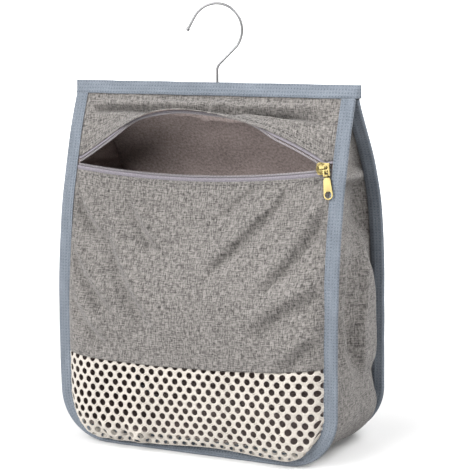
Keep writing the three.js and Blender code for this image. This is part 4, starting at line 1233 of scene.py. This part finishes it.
def slider_cap(slider):
    """Domed cap with a rolled rim on the slider's wide end, joined to it."""
    deselect()
    bpy.ops.mesh.primitive_uv_sphere_add(segments=32, ring_count=20, radius=MM)
    dome = bpy.context.object
    size = (CAP_LENGTH / 2, CAP_WIDTH / 2, CAP_RISE)
    with editing(dome):
        bpy.ops.mesh.bisect(plane_co=(0, 0, 0), plane_no=(0, 0, 1), clear_inner=True, use_fill=True)
        bpy.ops.mesh.select_all(action="SELECT")
        bpy.ops.transform.resize(value=size, center_override=(0, 0, 0))
        bpy.ops.transform.translate(value=(CAP_SHIFT * MM, 0, CAP_FOOT * MM))
    deselect()
    bpy.ops.mesh.primitive_torus_add(major_segments=40, minor_segments=10, major_radius=MM,
                                     minor_radius=0.1 * MM)
    rim = bpy.context.object
    size = (CAP_LENGTH / 2 + CAP_RIM, CAP_WIDTH / 2 + CAP_RIM, CAP_RIM_RISE)
    with editing(rim):
        bpy.ops.transform.resize(value=size, center_override=(0, 0, 0))
        bpy.ops.transform.translate(value=(CAP_SHIFT * MM, 0, (CAP_FOOT - CAP_RIM_DROP) * MM))
    for part in (dome, rim):
        part.data.transform(slider_frame())
        part.data.materials.append(BRASS_FINISH)
        part.data.shade_smooth()
    join(slider, (dome, rim))


# Hook

def hook_line():
    """The wire's line in its own upright plane, from inside the bag to the tip."""
    crook_z = BAG_HEIGHT + HOOK_RISE
    slope = math.pi / 2 - HOOK_START
    start_x = HOOK_RADIUS * math.cos(HOOK_START)
    knee_z = crook_z - HOOK_RADIUS * math.sin(HOOK_START) - start_x * math.tan(slope)
    bend_z = knee_z - HOOK_BEND * math.tan(HOOK_START / 2)
    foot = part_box("hook")[0].z / MM + HEAD_HEIGHT
    line = [(0.0, foot), (0.0, (foot + bend_z) / 2)]
    for a in np.linspace(0, HOOK_START, 9):
        line.append((HOOK_BEND * (1 - math.cos(a)), bend_z + HOOK_BEND * math.sin(a)))
    for a in np.linspace(-HOOK_START, HOOK_END, 49):
        line.append((HOOK_RADIUS * math.cos(a), crook_z + HOOK_RADIUS * math.sin(a)))
    x, z = line[-1]
    ahead = HOOK_END + math.pi / 2
    for run in np.linspace(0, HOOK_TIP, 6)[1:]:
        line.append((x + run * math.cos(ahead), z + run * math.sin(ahead)))
    return line


def wire_hook():
    """Satin wire drawn along the hook's line, with a ball at its tip and a flat head inside the bag."""
    line = hook_line()
    curve = bpy.data.curves.new("wire_hook", "CURVE")
    curve.dimensions = "3D"
    curve.bevel_depth = WIRE / 2 * MM
    curve.bevel_resolution = 6
    curve.use_fill_caps = True
    spline = curve.splines.new("POLY")
    spline.points.add(len(line) - 1)
    turn = Matrix.Rotation(HOOK_TURN, 3, "Z")
    shift = Vector((HOOK_OFFSET, SEAM_Y, 0))

    def placed(x, z):
        return (turn @ Vector((x, 0, z)) + shift) * MM

    for point, (x, z) in zip(spline.points, line):
        point.co = (*placed(x, z), 1.0)
    obj = bpy.data.objects.new("wire_hook", curve)
    bpy.context.scene.collection.objects.link(obj)
    select_only(obj)
    bpy.ops.object.convert(target="MESH")
    wire = bpy.context.object
    deselect()
    bpy.ops.mesh.primitive_uv_sphere_add(segments=24, ring_count=16, radius=HOOK_BALL / 2 * MM,
                                         location=placed(*line[-1]))
    ball = bpy.context.object
    with editing(ball):
        bpy.ops.transform.resize(value=(1.0, 1.0, 1.08))
    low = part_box("hook")[0].z
    bpy.ops.mesh.primitive_cylinder_add(vertices=32, radius=HEAD_RADIUS * MM, depth=HEAD_HEIGHT * MM,
                                        location=(*(shift.xy * MM), low + HEAD_HEIGHT / 2 * MM))
    head = bpy.context.object
    apply_modifier(head, "BEVEL", width=HEAD_BEVEL * MM, segments=3)
    for part in (ball, head):
        select_only(part)
        bpy.ops.object.transform_apply(location=True, rotation=True, scale=True)
    join(wire, (ball, head))
    wire.name = "wire_hook"
    wire.data.materials.clear()
    wire.data.materials.append(STEEL_FINISH)
    bpy.ops.object.shade_smooth_by_angle(angle=math.radians(40))
    dress(wire, "hook", "steel", "hook")


def paint(node, material):
    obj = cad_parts[node]
    obj.data.materials.clear()
    obj.data.materials.append(material)


# Studio

def place_light(light, place):
    obj = bpy.data.objects.new(light.name, light)
    obj.location = place
    aim = Vector((0, 0, BAG_HEIGHT / 2 * MM)) - Vector(place)
    obj.rotation_euler = aim.to_track_quat("-Z", "Y").to_euler()
    bpy.context.scene.collection.objects.link(obj)


def paper_sweep():
    """Pale floor that curves up into a wall, lit a little from within behind the bag."""
    paper = Graph("pale_paper")
    haze = paper.noise(paper.place(3, 3, 3), detail=1)
    behind = paper.node("ShaderNodeSeparateXYZ", {}, paper.place(1, 1, 1), output=1)
    glow = paper.mix(paper.spread(behind, 0.3, 1.2), (0.12, 0.12, 0.12), (1.0, 1.0, 1.0))
    pale = paper.finish(Base_Color=paper.mix(haze, (0.62, 0.62, 0.62), (0.66, 0.66, 0.66)), Roughness=0.9,
                        Emission_Color=glow, Emission_Strength=PAPER_GLOW)
    deselect()
    bpy.ops.mesh.primitive_plane_add(size=1.0)
    sweep = bpy.context.object
    sweep.name = "paper_sweep"
    with editing(sweep):
        bpy.ops.transform.resize(value=(FLOOR_WIDTH, FLOOR_DEPTH, 1))
        bpy.ops.mesh.select_all(action="DESELECT")
        work = bmesh.from_edit_mesh(sweep.data)
        for edge in work.edges:
            edge.select_set(all(v.co.y > 0 for v in edge.verts))
        bmesh.update_edit_mesh(sweep.data)
        bpy.ops.mesh.extrude_region_move(TRANSFORM_OT_translate={"value": (0, 0, WALL_HEIGHT)})
    apply_modifier(sweep, "BEVEL", width=PAPER_BEND, segments=12, limit_method="ANGLE",
                   angle_limit=math.radians(60))
    sweep.data.materials.append(pale)
    sweep.data.shade_smooth()


def studio():
    """The paper, an even sky, a soft sun from the upper left and three lamps."""
    paper_sweep()
    world = bpy.data.worlds.new("studio")
    bpy.context.scene.world = world
    world.use_nodes = True
    sky = world.node_tree.nodes["Background"]
    sky.inputs["Color"].default_value = (1.0, 1.0, 1.0, 1.0)
    sky.inputs["Strength"].default_value = SKY
    sun = bpy.data.lights.new("window", "SUN")
    sun.energy = SUN
    sun.angle = SUN_ANGLE
    place_light(sun, SUN_PLACE)
    for name, (size, watts, place) in LAMPS.items():
        panel = bpy.data.lights.new(name, "AREA")
        panel.size = size
        panel.energy = watts
        place_light(panel, place)


def camera():
    """The photograph's viewpoint."""
    ahead = Vector((-math.sin(CAMERA_AZIMUTH) * math.cos(CAMERA_PITCH),
                    math.cos(CAMERA_AZIMUTH) * math.cos(CAMERA_PITCH), -math.sin(CAMERA_PITCH)))
    level = Vector((math.cos(CAMERA_AZIMUTH), math.sin(CAMERA_AZIMUTH), 0))
    upright = level.cross(ahead)
    right = math.cos(CAMERA_ROLL) * level + math.sin(CAMERA_ROLL) * upright
    up = -math.sin(CAMERA_ROLL) * level + math.cos(CAMERA_ROLL) * upright
    lens = bpy.data.cameras.new("view")
    lens.sensor_fit = "HORIZONTAL"
    lens.sensor_width = SENSOR
    lens.lens = FOCAL_PIXELS * SENSOR / IMAGE_SIZE
    obj = bpy.data.objects.new("view", lens)
    turn = Matrix((right, up, -ahead)).transposed().to_4x4()
    obj.matrix_world = Matrix.Translation(CAMERA_EYE) @ turn
    bpy.context.scene.collection.objects.link(obj)
    bpy.context.scene.camera = obj
    bpy.context.scene.view_settings.view_transform = "Standard"


deselect()
camera()
studio()
back_cloth()
gusset_cloth()
lower = lower_cloth()
flap = flap_cloth()
net_window()
side_binding(front, "front_edge_binding", "front_binding")
side_binding(back, "back_edge_binding", "back_binding")
top_binding()
lower_zip()
upper_zip(flap)
zip_stitches(lower, flap)
slider_cap(rounded_copy("brass_slider", "zip_slider", "slider", 0.35, 3, BRASS_FINISH, "brass"))
rounded_copy("brass_link", "pull_link", "link", 0.3, 3, BRASS_FINISH, "brass")
rounded_copy("brass_tab", "pull_tab", "tab", 0.3, 3, BRASS_FINISH, "brass")
wire_hook()
paint("hook_washer", STEEL_FINISH)
paint("hanger_bar", WOOD_WITH_PAINTED_SHADE)

bpy.context.view_layer.update()
